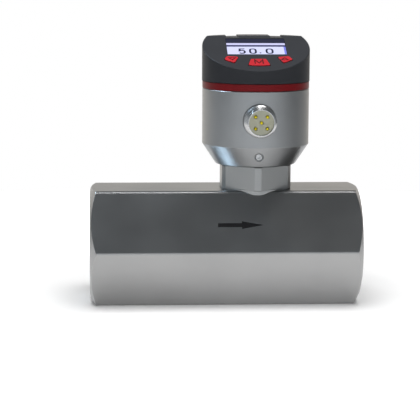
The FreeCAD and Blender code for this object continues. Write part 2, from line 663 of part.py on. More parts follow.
def make_retaining_ring(label, x):
    """Spring ring with a gap at the bottom and an eye on each side of the gap."""
    body = new_body(label, x=x, z=FLOW_AXIS)
    band = new_sketch(body, "YZ_Plane")
    outside = "(cartridge_bore + 2 * clip_groove_depth - 2 * clip_play)"
    circle(band, outside)
    circle(band, f"{outside} - 2 * clip_band", y="clip_shift")
    pad(body, band, "clip_thickness", symmetric=True)
    gap = new_sketch(body, "YZ_Plane")
    outline(gap, [("0", "0"), ("-cartridge_bore * tan(clip_gap_angle)", "-cartridge_bore"),
                  ("cartridge_bore * tan(clip_gap_angle)", "-cartridge_bore")])
    pocket(body, gap, "2 * clip_thickness", symmetric=True)
    eyes = new_sketch(body, "YZ_Plane")
    holes = new_sketch(body, "YZ_Plane")
    radius = "(cartridge_bore / 2 - eye_inset)"
    for side in ("1", "-1"):
        spot = {"x": f"{side} * {radius} * sin(eye_angle)", "y": f"-{radius} * cos(eye_angle)"}
        circle(eyes, "eye_diameter", **spot)
        circle(holes, "eye_hole", **spot)
    pad(body, eyes, "clip_thickness", symmetric=True)
    pocket(body, holes, "2 * clip_thickness", symmetric=True)


def make_turned_piece(label, corners, **where):
    """Plain turned piece about its own X axis, from the corners of its half section."""
    body = new_body(label, **where)
    section = new_sketch(body, "XZ_Plane")
    outline(section, corners)
    revolve(body, section, "H_Axis")
    return body


def make_rotor():
    """Turbine rotor: helical blades, thinner at the tip, lofted through three turned sections."""
    body = new_body("turbine_rotor", x="head_offset", z=FLOW_AXIS)
    hub = new_sketch(body, "XZ_Plane")
    half = "rotor_length / 2"
    rectangle(hub, f"-{half}", "bearing_diameter / 2", half, "rotor_hub / 2")
    revolve(body, hub, "H_Axis")

    sections = []
    for step in (-1, -0.5, 0, 0.5, 1):
        section = new_sketch(body, "YZ_Plane", z=f"{step} * ({half} - blade_setback)")
        turned = FreeCAD.Rotation(Z_AXIS, step * value("blade_sweep") / 2)
        section.AttachmentOffset = FreeCAD.Placement(section.AttachmentOffset.Base, turned)
        section.setExpression(".AttachmentOffset.Rotation.Angle", bound(f"{step} * blade_sweep / 2"))
        root = "rotor_hub / 2 - weld_overlap"
        outline(section, [
            (root, "-blade_root / 2"),
            (f"{ROTOR_RADIUS} + weld_overlap", "-blade_tip / 2"),
            (f"{ROTOR_RADIUS} + weld_overlap", "blade_tip / 2"),
            (root, "blade_root / 2"),
        ])
        sections.append(section)
    blade = body.newObject("PartDesign::AdditiveLoft", "rotor_blade")
    blade.Profile = (sections[0], [""])
    blade.Sections = [(section, [""]) for section in sections[1:]]
    finish(blade)
    polar(body, blade, "X_Axis", "blade_count")

    tips = new_sketch(body, "XZ_Plane")
    rectangle(tips, f"-{half} - cut_margin", ROTOR_RADIUS,
              f"{half} + cut_margin", "rotor_bore / 2 + cut_margin")
    groove(body, tips, "H_Axis")


def make_rotor_train():
    """Shaft, journal bearings and thrust washers, all on the flow axis."""
    hub_face = "(rotor_chamber / 2 - hub_reach)"
    end = f"({hub_face} + shaft_seat)"
    shaft = "shaft_diameter / 2"
    make_turned_piece("rotor_shaft", [
        (f"-{end}", "0"), (end, "0"), (end, f"{shaft} - shaft_bevel"), (f"{end} - shaft_bevel", shaft),
        (f"shaft_bevel - {end}", shaft), (f"-{end}", f"{shaft} - shaft_bevel"),
    ], x="head_offset", z=FLOW_AXIS)
    bore = "shaft_diameter / 2 + bearing_gap"
    for side, name in (("-1", "inlet"), ("1", "outlet")):
        near = f"{side} * (rotor_length / 2 - bearing_length)"
        far = f"{side} * rotor_length / 2"
        make_turned_piece(f"{name}_bearing", [
            (near, bore), (far, bore), (far, "bearing_diameter / 2"), (near, "bearing_diameter / 2"),
        ], x="head_offset", z=FLOW_AXIS)
        near = f"{side} * {hub_face}"
        far = f"{side} * ({hub_face} - washer_thickness)"
        make_turned_piece(f"{name}_thrust_washer", [
            (near, "shaft_diameter / 2 + close_fit"), (far, "shaft_diameter / 2 + close_fit"),
            (far, "washer_diameter / 2"), (near, "washer_diameter / 2"),
        ], x="head_offset", z=FLOW_AXIS)


def make_cartridge():
    """Everything that slides into the bar from its two ports."""
    make_straightener("inlet_straightener", "inlet_length", "0")
    make_straightener("outlet_straightener", "outlet_length", "180")
    for name, (near, far) in zip(("inlet", "outlet"), ring_groove_sides()):
        make_retaining_ring(f"{name}_retaining_ring", f"(({near}) + ({far})) / 2")


# ---------------------------------------------------------------- the neck and the pickup


def upright_turned(label, corners, **where):
    """Plain turned piece about its own Z axis, from the corners of its half section."""
    body = new_body(label, **where)
    section = new_sketch(body, "XZ_Plane")
    outline(section, corners)
    revolve(body, section, "V_Axis")
    return body


def make_neck():
    """Hexagonal neck: threaded spigot, collar, hexagon with turned corners, and stem."""
    base = "collar_lift"
    top = "(collar_lift + neck_hex_length)"
    stem_top = f"({top} + stem_length)"
    body = upright_turned("neck_fitting", [
        ("neck_bore / 2", "-(seat_depth + neck_thread_length)"),
        ("neck_thread / 2", "-(seat_depth + neck_thread_length)"),
        ("neck_thread / 2", "-seat_depth"),
        ("collar_diameter / 2", "-seat_depth"),
        ("collar_diameter / 2", f"{base} + weld_overlap"),
        ("stem_diameter / 2", f"{base} + weld_overlap"),
        ("stem_diameter / 2", f"{stem_top} - stem_chamfer"),
        ("stem_diameter / 2 - stem_chamfer", stem_top),
        ("neck_bore / 2", stem_top),
    ], x="head_offset", z="bar_flats")

    hexagonal = new_sketch(body, "XY_Plane", z=base)
    hexagon(hexagonal, "neck_flats", corner_up=True)
    circle(hexagonal, "neck_bore")
    pad(body, hexagonal, "neck_hex_length")

    corners = new_sketch(body, "XZ_Plane")
    rim = "(neck_flats / cos(30) - neck_turning) / 2"
    outline(corners, [
        ("neck_flats", base), ("neck_flats", top),
        (f"{rim} - neck_chamfer", top), (rim, f"{top} - neck_chamfer"),
        (rim, f"{base} + neck_chamfer"), (f"{rim} - neck_chamfer", base),
    ])
    groove(body, corners, "V_Axis")

    ring_grooves = new_sketch(body, "XZ_Plane")
    stem = "stem_diameter / 2"
    clip_low = f"{top} + turn_gap + housing_floor + clip_lift"
    rectangle(ring_grooves, f"{stem} - seal_section", f"{SEAL_MIDDLE} - {SEAL_HALF}",
              f"{stem} + cut_margin", f"{SEAL_MIDDLE} + {SEAL_HALF}")
    rectangle(ring_grooves, f"{stem} - clip_groove_depth", clip_low,
              f"{stem} + cut_margin", f"{clip_low} + clip_thickness + 2 * clip_play")
    groove(body, ring_grooves, "V_Axis")

    # The lock groove runs round the stem except for the stop, which is at the back (+Y).
    lock = new_sketch(body, "YZ_Plane")
    rectangle(lock, f"-({stem} + cut_margin)", f"{LOCK_MIDDLE} - lock_groove_width / 2",
              f"lock_groove_depth - {stem}", f"{LOCK_MIDDLE} + lock_groove_width / 2")
    groove(body, lock, "V_Axis", sweep="lock_groove_sweep")


def make_stem_ring():
    """Spring ring on the stem that keeps the housing down, with its gap at the back."""
    z = f"{HOUSING_FOOT} + housing_floor + clip_lift + clip_play + clip_thickness / 2"
    body = new_body("stem_retaining_ring", x="head_offset", z=z)
    band = new_sketch(body, "XY_Plane")
    circle(band, "stem_diameter + 2 * stem_ring_reach", y="-stem_ring_shift")
    circle(band, "stem_diameter - 2 * clip_groove_depth + 2 * clip_play")
    pad(body, band, "clip_thickness", symmetric=True)
    gap = new_sketch(body, "XY_Plane")
    outline(gap, [("0", "0"), ("stem_diameter * tan(stem_ring_angle)", "stem_diameter"),
                  ("-stem_diameter * tan(stem_ring_angle)", "stem_diameter")])
    pocket(body, gap, "2 * clip_thickness", symmetric=True)


def make_round_ring(label, middle_radius, section, **where):
    """Seal or wire ring about its own Z axis, with an eight-sided section."""
    flat = f"({section}) / 2 * tan(22.5)"
    half = f"({section}) / 2"
    near, far = (f"{middle_radius} - {half}", f"{middle_radius} + {half}")
    inner, outer = (f"{middle_radius} - {flat}", f"{middle_radius} + {flat}")
    return upright_turned(label, [
        (near, flat), (near, f"-{flat}"), (inner, f"-{half}"), (outer, f"-{half}"),
        (far, f"-{flat}"), (far, flat), (outer, half), (inner, half),
    ], **where)


def make_pickup():
    """Pickup in the well: case, magnet, winding, and the ring nut that holds it down."""
    foot = f"({WELL_FLOOR} + pickup_floor_gap)"
    outside = "pickup_diameter / 2"
    inside = "(pickup_diameter / 2 - pickup_wall)"
    upright_turned("pickup_case", [
        ("0", "0"), (outside, "0"), (outside, "pickup_length"), (inside, "pickup_length"),
        (inside, "pickup_wall"), ("0", "pickup_wall"),
    ], x="head_offset", z=foot)
    upright_turned("pickup_magnet", [
        ("0", "0"), ("magnet_diameter / 2", "0"), ("magnet_diameter / 2", "magnet_length"),
        ("0", "magnet_length"),
    ], x="head_offset", z=f"{foot} + pickup_wall")
    spool = "(magnet_diameter / 2 + pickup_play)"
    core = f"({spool} + bobbin_wall)"
    rim = f"({inside} - pickup_play)"
    upright_turned("pickup_bobbin", [
        (spool, "0"), (rim, "0"), (rim, "bobbin_flange"), (core, "bobbin_flange"),
        (core, "coil_length - bobbin_flange"), (rim, "coil_length - bobbin_flange"),
        (rim, "coil_length"), (spool, "coil_length"),
    ], x="head_offset", z=f"{foot} + pickup_wall")
    upright_turned("pickup_winding", [
        (f"{core} + close_fit", "bobbin_flange"), ("coil_diameter / 2", "bobbin_flange"),
        ("coil_diameter / 2", "coil_length - bobbin_flange"),
        (f"{core} + close_fit", "coil_length - bobbin_flange"),
    ], x="head_offset", z=f"{foot} + pickup_wall")
    nut = upright_turned("pickup_nut", [
        ("pickup_diameter / 4", "0"), ("neck_bore / 2 - thread_fit", "0"),
        ("neck_bore / 2 - thread_fit", "pickup_nut_height"), ("pickup_diameter / 4", "pickup_nut_height"),
    ], x="head_offset", z=f"{foot} + pickup_length")
    slots = new_sketch(nut, "XY_Plane", z="pickup_nut_height")
    rectangle(slots, "-neck_bore", "-nut_slot / 2", "neck_bore", "nut_slot / 2")
    pocket(nut, slots, "pickup_nut_height / 3")


# ---------------------------------------------------------------- the sensor housing


def make_sensor_housing():
    """Turned housing: solid coned foot round the stem and a thin-walled can above it."""
    outside = "housing_diameter / 2"
    bore = "(stem_diameter / 2 + slip_fit)"
    cavity = f"{HOUSING_INSIDE} / 2"
    body = upright_turned("sensor_housing", [
        (bore, "0"),
        ("cone_foot / 2", "0"),
        (outside, "cone_height"),
        (outside, "housing_height - rim_chamfer"),
        (f"{outside} - rim_chamfer", "housing_height"),
        (cavity, "housing_height"),
        (cavity, "housing_floor"),
        (bore, "housing_floor"),
    ], x="head_offset", z=HOUSING_FOOT)
    foot = value("cone_foot / 2")
    dress(body, "Fillet", "foot_round", lambda edge: is_circle(edge, foot, 0))

    seat = new_sketch(body, "XZ_Plane", y="connector_height", z=CONNECTOR_SEAT)
    circle(seat, "connector_flange + 2 * seat_gap")
    pocket(body, seat, upwards=True)
    hole = new_sketch(body, "XZ_Plane", y="connector_height")
    circle(hole, "connector_thread + 4 * thread_fit")
    pocket(body, hole, upwards=True)

    screw_hole = new_sketch(body, "XZ_Plane", y="screw_height")
    circle(screw_hole, "screw_diameter + 2 * thread_fit")
    pocket(body, screw_hole, upwards=True)
    screw_pocket = new_sketch(body, "XZ_Plane", y="screw_height", z=SCREW_SEAT)
    circle(screw_pocket, "screw_pocket")
    pocket(body, screw_pocket, upwards=True)

    wire = new_sketch(body, "XZ_Plane")
    middle = "(housing_height + accent_height - wire_drop)"
    rectangle(wire, f"{cavity} - cut_margin", f"{middle} - wire_section / 2 - clip_play",
              f"{cavity} + wire_section / 2", f"{middle} + wire_section / 2 + clip_play")
    groove(body, wire, "V_Axis")

    screws = new_sketch(body, "XY_Plane", z="housing_floor")
    for x, y in CARRIER_SCREWS:
        circle(screws, "small_screw + 2 * thread_fit", x=x, y=y)
    pocket(body, screws, "small_screw_depth + blind_end")


def make_accent_ring():
    """Coloured ring that stands on the housing's rim."""
    inside = f"{HOUSING_INSIDE} / 2 + slip_fit"
    outside = "housing_diameter / 2"
    upright_turned("accent_ring", [
        (inside, "0"),
        (f"{outside} - accent_edge", "0"),
        (outside, "accent_edge"),
        (outside, "accent_height - accent_edge"),
        (f"{outside} - accent_edge", "accent_height - turn_gap"),
        (inside, "accent_height - turn_gap"),
    ], x="head_offset", z=HOUSING_RIM)


def make_cap_ring():
    """Wire ring that keeps the cap in the housing, with its gap at the back."""
    ring = make_round_ring("cap_wire_ring", f"({HOUSING_INSIDE} / 2 - clip_play)", "wire_section",
                           x="head_offset", z=f"{CAP_FOOT} - wire_drop")
    gap = new_sketch(ring, "XY_Plane")
    outline(gap, [("0", "0"), ("housing_diameter * tan(wire_gap_angle)", "housing_diameter"),
                  ("-housing_diameter * tan(wire_gap_angle)", "housing_diameter")])
    pocket(ring, gap, "2 * wire_section", symmetric=True)


def make_lock_screw():
    """Set screw in the foot, whose tip runs in the stem's groove."""
    radius = "screw_diameter / 2"
    tip_end = "(stem_diameter / 2 - lock_groove_depth + screw_tip_gap)"
    shoulder = "(stem_diameter / 2 + slip_fit + 2 * thread_fit)"
    outer = f"({SCREW_SEAT} + screw_stand)"
    screw = upright_turned("lock_screw", [
        ("0", tip_end),
        ("screw_tip / 2", tip_end),
        ("screw_tip / 2", shoulder),
        (radius, shoulder),
        (radius, f"{outer} - screw_edge"),
        (f"{radius} - screw_edge", outer),
        ("0", outer),
    ], x="head_offset", z=f"{HOUSING_FOOT} + screw_height", axis=X_AXIS, angle="90")
    socket = new_sketch(screw, "XY_Plane", z=outer)
    hexagon(socket, "screw_socket")
    pocket(screw, socket, "screw_socket")


# ---------------------------------------------------------------- the cable connector

CONNECTOR_PLACE = {"x": "head_offset", "y": f"-{CONNECTOR_SEAT}", "z": CONNECTOR_AXIS,
                   "axis": X_AXIS, "angle": "90"}
INSERT_FACE = "(connector_reach - connector_cavity_depth)"
PIN_PLACES = [("0", "0")] + [
    (f"{x} * pin_pitch / 2", f"{y} * pin_pitch / 2") for x in (-1, 1) for y in (-1, 1)
]


def make_connector_shell():
    """Metal shell: flange on the housing's seat, shoulder, barrel with its cavity, and tail."""
    barrel = "connector_thread / 2"
    bore = "connector_bore / 2"
    cavity = "connector_cavity / 2"
    cavity_floor = f"({INSERT_FACE} - insert_flange)"
    shell = upright_turned("connector_shell", [
        (bore, "-connector_tail"),
        (barrel, "-connector_tail"),
        (barrel, "0"),
        ("connector_flange / 2", "0"),
        ("connector_flange / 2", "connector_flange_height"),
        (barrel, "connector_flange_height + connector_shoulder"),
        (barrel, "connector_reach - barrel_edge"),
        (f"{barrel} - barrel_edge", "connector_reach"),
        (cavity, "connector_reach"),
        (cavity, cavity_floor),
        (bore, cavity_floor),
    ], **CONNECTOR_PLACE)
    seal = new_sketch(shell, "XZ_Plane")
    rectangle(seal, f"{barrel} + shell_seal_offset", "-cut_margin",
              f"{barrel} + shell_seal_offset + shell_seal_section + 2 * close_fit", "shell_seal_section")
    groove(shell, seal, "V_Axis")


def make_connector_insert():
    """Insulating insert with a hole and a shallow well for each contact pin."""
    rim = "(connector_cavity / 2 - thread_fit)"
    core = "(connector_bore / 2 - thread_fit)"
    insert = upright_turned("connector_insert", [
        ("0", "-(connector_tail + insert_overhang)"),
        (core, "-(connector_tail + insert_overhang)"),
        (core, f"{INSERT_FACE} - insert_flange"),
        (rim, f"{INSERT_FACE} - insert_flange"),
        (rim, INSERT_FACE),
        ("0", INSERT_FACE),
    ], **CONNECTOR_PLACE)
    holes = new_sketch(insert, "XY_Plane")
    for x, y in PIN_PLACES:
        circle(holes, "pin_diameter + 2 * close_fit", x=x, y=y)
    pocket(insert, holes, "4 * connector_reach", symmetric=True)
    wells = new_sketch(insert, "XY_Plane", z=INSERT_FACE)
    for x, y in PIN_PLACES:
        circle(wells, "pin_well", x=x, y=y)
    pocket(insert, wells, "pin_well_depth")


def make_connector_pins():
    """Five contact pins with chamfered tips."""
    pins = new_body("connector_pins", **CONNECTOR_PLACE)
    section = new_sketch(pins, "XY_Plane", z="-(connector_tail + pin_overhang)")
    for x, y in PIN_PLACES:
        circle(section, "pin_diameter", x=x, y=y)
    pad(pins, section, f"{INSERT_FACE} + pin_reach + connector_tail + pin_overhang")
    radius = value("pin_diameter / 2")
    tip = value(f"{INSERT_FACE} + pin_reach")
    dress(pins, "Chamfer", "pin_diameter / 4", lambda edge: is_circle(edge, radius, tip))


def make_connector_nut():
    """Hexagon nut on the connector's tail, inside the housing."""
    nut = new_body("connector_nut", **CONNECTOR_PLACE)
    section = new_sketch(nut, "XY_Plane", z="-nut_seat")
    hexagon(section, "nut_flats")
    circle(section, "connector_thread + 2 * thread_fit")
    pad(nut, section, "nut_thickness", downwards=True)


def make_connector_seal():
    """Seal ring in the back of the connector's flange."""
    middle = "(connector_thread / 2 + shell_seal_offset + close_fit + shell_seal_section / 2)"
    where = CONNECTOR_PLACE | {"y": f"-({CONNECTOR_SEAT} + shell_seal_section / 2)"}
    make_round_ring("connector_seal", middle, "shell_seal_section - 2 * close_fit", **where)


# ---------------------------------------------------------------- the electronics


def make_board_carrier():
    """Moulded ring on the housing's floor with two slotted guides and a stop post."""
    floor = f"{HOUSING_FOOT} + housing_floor"
    body = new_body("board_carrier", x="head_offset", z=floor)
    ring = new_sketch(body, "XY_Plane")
    circle(ring, CARRIER_OUTSIDE)
    circle(ring, "carrier_inside")
    pad(body, ring, "carrier_height")

    guides = new_sketch(body, "XY_Plane")
    middle = "(board_offset + board_thickness / 2)"
    near = f"({BOARD_WIDTH} / 2 - guide_width / 2)"
    far = f"({BOARD_WIDTH} / 2 + guide_width / 2)"
    for side in ("1", "-1"):
        rectangle(guides, f"{side} * {near}", f"{middle} - guide_depth / 2",
                  f"{side} * {far}", f"{middle} + guide_depth / 2")
    pad(body, guides, "carrier_height + guide_height")
    slots = new_sketch(body, "XY_Plane", z="board_rise - slot_clearance")
    edge = f"({BOARD_WIDTH} / 2 + slot_clearance)"
    for side in ("1", "-1"):
        rectangle(slots, f"{side} * ({near} - cut_margin)", "board_offset - slot_clearance",
                  f"{side} * {edge}", "board_offset + board_thickness + slot_clearance")
    pocket(body, slots, upwards=True)

    post = new_sketch(body, "XY_Plane")
    rectangle(post, "-stop_width / 2", f"{SPIGOT_INSIDE} / 2 + slip_fit",
              "stop_width / 2", f"{CARRIER_OUTSIDE} / 2 - slip_fit")
    pad(body, post, "stop_reach")

    holes = new_sketch(body, "XY_Plane")
    for x, y in CARRIER_SCREWS:
        circle(holes, "small_screw + 4 * thread_fit", x=x, y=y)
    pocket(body, holes, "carrier_height + cut_margin", upwards=True)


def make_carrier_screws():
    """Four screws that hold the board carrier to the housing's floor."""
    body = new_body("carrier_screws", x="head_offset", z=f"{HOUSING_FOOT} + housing_floor")
    heads = new_sketch(body, "XY_Plane", z="carrier_height")
    shanks = new_sketch(body, "XY_Plane", z="-small_screw_depth")
    for x, y in CARRIER_SCREWS:
        circle(heads, "small_head", x=x, y=y)
        circle(shanks, "small_screw", x=x, y=y)
    pad(body, heads, "small_head_height")
    pad(body, shanks, "small_screw_depth + carrier_height")


# Left edge, lower edge, width and height of the main board's components, as shares of the board.
MAIN_BOARD_PARTS = [(-0.38, 0.16, 0.2, 0.55), (-0.12, 0.48, 0.15, 0.32), (0.09, 0.16, 0.26, 0.4)]


def make_main_board():
    """Upright circuit board in the carrier's guides, with its larger components."""
    body = new_body("main_board", x="head_offset", y="board_offset",
                    z=f"{HOUSING_FOOT} + housing_floor + board_rise")
    plate = new_sketch(body, "XZ_Plane")
    rectangle(plate, f"-{BOARD_WIDTH} / 2", "0", f"{BOARD_WIDTH} / 2", "board_height")
    pad(body, plate, "board_thickness", downwards=True)
    parts = new_sketch(body, "XZ_Plane")
    for left, low, wide, high in MAIN_BOARD_PARTS:
        rectangle(parts, f"{left} * {BOARD_WIDTH}", f"{low} * board_height",
                  f"{left + wide} * {BOARD_WIDTH}", f"{low + high} * board_height")
    pad(body, parts, "component_height")


# ---------------------------------------------------------------- the display head


def on_face(depth):
    """Place of a plane parallel to the face, at a depth below it, in the cap's own frame."""
    return {"y": f"({depth}) * sin(face_slope)", "z": f"face_height - ({depth}) * cos(face_slope)"}


def face_body(label):
    """Body whose own XY plane is the face, with its origin on the head's axis."""
    return new_body(label, x="head_offset", z=FACE_CENTRE, axis=X_AXIS, angle="face_slope")


def screen_outline(sketch, margin):
    """Rectangle that is larger than the screen's window by a margin on each side."""
    rectangle(sketch, f"-({SCREEN_SIDE} + {margin})",
              f"screen_shift - (screen_height / 2 + {margin})",
              f"{SCREEN_SIDE} + {margin}",
              f"screen_shift + screen_height / 2 + {margin}")


BOSSES = [(f"-{UPPER_BOSS_SIDE}", UPPER_BOSS), (UPPER_BOSS_SIDE, UPPER_BOSS),
          (f"-{SIDE_BOSS}", "-side_boss_drop"), (SIDE_BOSS, "-side_boss_drop")]

# Each key: its upper corners, the angles of its outer side, and its stem's place.
KEYS = {
    "down_key": {
        "left": ("-side_key_far", f"-{SIDE_KEY_ROW}"),
        "right": ("-side_key_near", f"-({SIDE_KEY_ROW} + side_key_dip)"),
        "angles": ("-side_key_end", "-side_key_start"),
        "stem": ("-side_stem_side", f"-({SIDE_KEY_ROW} + side_stem_drop)"),
    },
    "menu_key": {
        "left": ("-menu_key_half", f"-{MENU_KEY_ROW}"),
        "right": ("menu_key_half", f"-{MENU_KEY_ROW}"),
        "angles": ("-menu_key_angle", "menu_key_angle"),
        "stem": ("0", f"-{STEM_RADIUS}"),
    },
    "up_key": {
        "left": ("side_key_near", f"-({SIDE_KEY_ROW} + side_key_dip)"),
        "right": ("side_key_far", f"-{SIDE_KEY_ROW}"),
        "angles": ("side_key_start", "side_key_end"),
        "stem": ("side_stem_side", f"-({SIDE_KEY_ROW} + side_stem_drop)"),
    },
}


def key_outline(sketch, key, margin, rim):
    """Key's outline on the face, widened by a margin, with its outer side at a given radius."""
    spread = f"({margin}) * 180 / pi / ({rim})"
    left_x, left_y = key["left"]
    right_x, right_y = key["right"]
    corners = [(f"{left_x} - ({margin})", f"{left_y} + ({margin})"),
               (f"{right_x} + ({margin})", f"{right_y} + ({margin})")]
    left_angle = f"({key['angles'][0]} - {spread})"
    right_angle = f"({key['angles'][1]} + {spread})"
    ends = [(f"({rim}) * sin{angle}", f"-({rim}) * cos{angle}") for angle in (left_angle, right_angle)]
    upper = [FreeCAD.Vector(value(x), value(y), 0) for x, y in corners]
    lower = [FreeCAD.Vector(value(x), value(y), 0) for x, y in ends]
    turn = [math.atan2(point.y, point.x) for point in lower]
    radius = value(rim)
    arc = sketch.addGeometry(Part.ArcOfCircle(
        Part.Circle(FreeCAD.Vector(), Z_AXIS, radius), turn[0], turn[1]))
    top = sketch.addGeometry(Part.LineSegment(upper[0], upper[1]))
    right = sketch.addGeometry(Part.LineSegment(upper[1], lower[1]))
    left = sketch.addGeometry(Part.LineSegment(lower[0], upper[0]))
    for first, end, second, start in ((top, 2, right, 1), (right, 2, arc, 2),
                                      (left, 1, arc, 1), (left, 2, top, 1)):
        sketch.addConstraint(Sketcher.Constraint("Coincident", first, end, second, start))
    sketch.addConstraint(Sketcher.Constraint("Coincident", arc, 3, -1, 1))
    index = sketch.addConstraint(Sketcher.Constraint("Radius", arc, radius))
    sketch.setExpression(f"Constraints[{index}]", bound(rim))
    for point, (x, y) in zip((1, 2), corners):
        hold(sketch, "DistanceX", top, point, x)
        hold(sketch, "DistanceY", top, point, y)
    for point, (x, _) in zip((1, 2), ends):
        hold(sketch, "DistanceX", arc, point, x)


def make_display_cap():
    """Moulded cap: sliced cylinder, hollow from below, with spigot, bosses and openings."""
    body = new_body("display_cap", x="head_offset", z=CAP_FOOT)
    disc = new_sketch(body, "XY_Plane")
    circle(disc, CAP_DIAMETER)
    pad(body, disc, "cap_height")

    inner_face = "(face_height - cap_wall / cos(face_slope))"
    ceiling = "(cap_height - cap_wall)"
    below = new_sketch(body, "YZ_Plane")
    outline(below, [
        (f"-{CAP_DIAMETER}", f"-{CAP_DIAMETER}"),
        (CAP_DIAMETER, f"-{CAP_DIAMETER}"),
        (CAP_DIAMETER, ceiling),
        (f"({ceiling} - {inner_face}) / tan(face_slope)", ceiling),
        (f"-{CAP_DIAMETER}", f"{inner_face} - {CAP_DIAMETER} * tan(face_slope)"),
    ])
    pocket(body, below, f"2 * {CAP_DIAMETER}", symmetric=True)
    wall = new_sketch(body, "XY_Plane")
    circle(wall, CAP_DIAMETER)
    circle(wall, f"{CAP_DIAMETER} - 2 * cap_wall")
    pad(body, wall, "cap_height")

    above = new_sketch(body, "YZ_Plane")
    rise = f"{CAP_DIAMETER} * tan(face_slope)"
    outline(above, [
        (f"-{CAP_DIAMETER}", f"face_height - {rise}"),
        (CAP_DIAMETER, f"face_height + {rise}"),
        (f"-{CAP_DIAMETER}", f"face_height + {rise}"),
    ])
    pocket(body, above, f"2 * {CAP_DIAMETER}", symmetric=True)
    radius = value(f"{CAP_DIAMETER} / 2")
    dress(body, "Fillet", "cap_edge", lambda edge: lies_on_upper_rim(edge, radius))

    web = new_sketch(body, "XY_Plane")
    circle(web, f"{CAP_DIAMETER} - cap_wall")
    circle(web, SPIGOT_INSIDE)
    pad(body, web, "cap_wall")
    spigot = new_sketch(body, "XY_Plane")
    circle(spigot, SPIGOT_OUTSIDE)
    circle(spigot, SPIGOT_INSIDE)
    pad(body, spigot, "spigot_length", downwards=True)
    lug = new_sketch(body, "XY_Plane", z="-spigot_length")
    rectangle(lug, "-stop_width / 2", f"slip_fit - {SPIGOT_OUTSIDE} / 2",
              "stop_width / 2", f"-{SPIGOT_INSIDE} / 2")
    pad(body, lug, "lug_reach", downwards=True)

    rings = new_sketch(body, "XZ_Plane")
    outside = f"{SPIGOT_OUTSIDE} / 2"
    wire_half = "(wire_section / 2 + 2 * clip_play)"
    seal_half = "(cap_seal_section / 2 + 2 * clip_play)"
    rectangle(rings, f"{outside} - {wire_half}", f"-(wire_drop + {wire_half})",
              f"{outside} + cut_margin", f"-(wire_drop - {wire_half})")
    rectangle(rings, f"{outside} - cap_seal_section", f"-(seal_drop + {seal_half})",
              f"{outside} + cut_margin", f"-(seal_drop - {seal_half})")
    groove(body, rings, "V_Axis")

    bosses = new_sketch(body, "XY_Plane", tilt="face_slope", **on_face("board_drop"))
    holes = new_sketch(body, "XY_Plane", tilt="face_slope", **on_face("board_drop"))
    for x, y in BOSSES:
        circle(bosses, "boss_diameter", x=x, y=y)
        circle(holes, "tiny_screw + 2 * thread_fit", x=x, y=y)
    pad(body, bosses, "board_drop - cap_wall + weld_overlap")
    pocket(body, holes, "tiny_screw_depth + blind_end", upwards=True)

    openings = new_sketch(body, "XY_Plane", tilt="face_slope", **on_face("0"))
    screen_outline(openings, "0")
    for key in KEYS.values():
        key_outline(openings, key, "key_gap", f"({KEY_RIM} + key_gap)")
    pocket(body, openings, "cap_wall + cut_margin")

    notches = new_sketch(body, "XY_Plane", z="cap_height")
    for side in ("1", "-1"):
        rectangle(notches, f"{side} * notch_pitch / 2 - notch_width / 2", "0",
                  f"{side} * notch_pitch / 2 + notch_width / 2", CAP_DIAMETER)
    pocket(body, notches, "notch_depth")


def lies_on_upper_rim(edge, radius):
    """Tell whether an edge follows the cap's outer side above its foot."""
    points = edge.discretize(5)
    if min(point.z for point in points) < value("cap_wall"):
        return False
    if any(abs(math.hypot(point.x, point.y) - radius) > NEAR for point in points):
        return False
    return abs(points[0].z - points[-1].z) > NEAR or len(edge.Vertexes) > 1


def make_display_stack():
    """Window pane, display panel, its frame and the display board, all parallel to the face."""
    pane_back = "(cap_wall + stack_gap + pane_flange)"
    panel_top = f"({pane_back} + stack_gap)"
    panel_back = f"({panel_top} + panel_thickness)"

    pane = face_body("display_window")
    crown = new_sketch(pane, "XY_Plane", z="-(cap_wall + stack_gap)")
    screen_outline(crown, "(-screen_gap)")
    pad(pane, crown, "cap_wall + stack_gap - pane_recess")
    flange = new_sketch(pane, "XY_Plane", z="-(cap_wall + stack_gap)")
    screen_outline(flange, "pane_rebate")
    pad(pane, flange, "pane_flange", downwards=True)

    panel = face_body("display_panel")
    glass = new_sketch(panel, "XY_Plane", z=f"-{panel_top}")
    screen_outline(glass, "pane_rebate")
    pad(panel, glass, "panel_thickness", downwards=True)

    frame = face_body("panel_frame")
    block = new_sketch(frame, "XY_Plane", z="-(board_drop - stack_gap)")
    screen_outline(block, FRAME_MARGIN)
    pad(frame, block, "board_drop - cap_wall - 2 * stack_gap")
    tray = new_sketch(frame, "XY_Plane", z=f"-({panel_back} + stack_gap)")
    screen_outline(tray, "(pane_rebate + panel_play)")
    pocket(frame, tray, upwards=True)
    window = new_sketch(frame, "XY_Plane")
    screen_outline(window, "(-frame_wall)")
    pocket(frame, window)

    board = face_body("display_board")
    plate = new_sketch(board, "XY_Plane", z="-board_drop")
    circle(plate, f"{CAP_DIAMETER} - 2 * cap_wall - 2 * board_margin", y="display_board_shift")
    for x, y in BOSSES:
        circle(plate, "tiny_screw + 4 * thread_fit", x=x, y=y)
    pad(board, plate, "display_board_thickness", downwards=True)


def make_board_screws():
    """Four screws that hold the display board to the bosses under the face."""
    body = face_body("display_board_screws")
    heads = new_sketch(body, "XY_Plane", z="-(board_drop + display_board_thickness)")
    shanks = new_sketch(body, "XY_Plane", z="-(board_drop + display_board_thickness)")
    for x, y in BOSSES:
        circle(heads, "tiny_head", x=x, y=y)
        circle(shanks, "tiny_screw", x=x, y=y)
    pad(body, heads, "tiny_head_height", downwards=True)
    pad(body, shanks, "display_board_thickness + tiny_screw_depth")


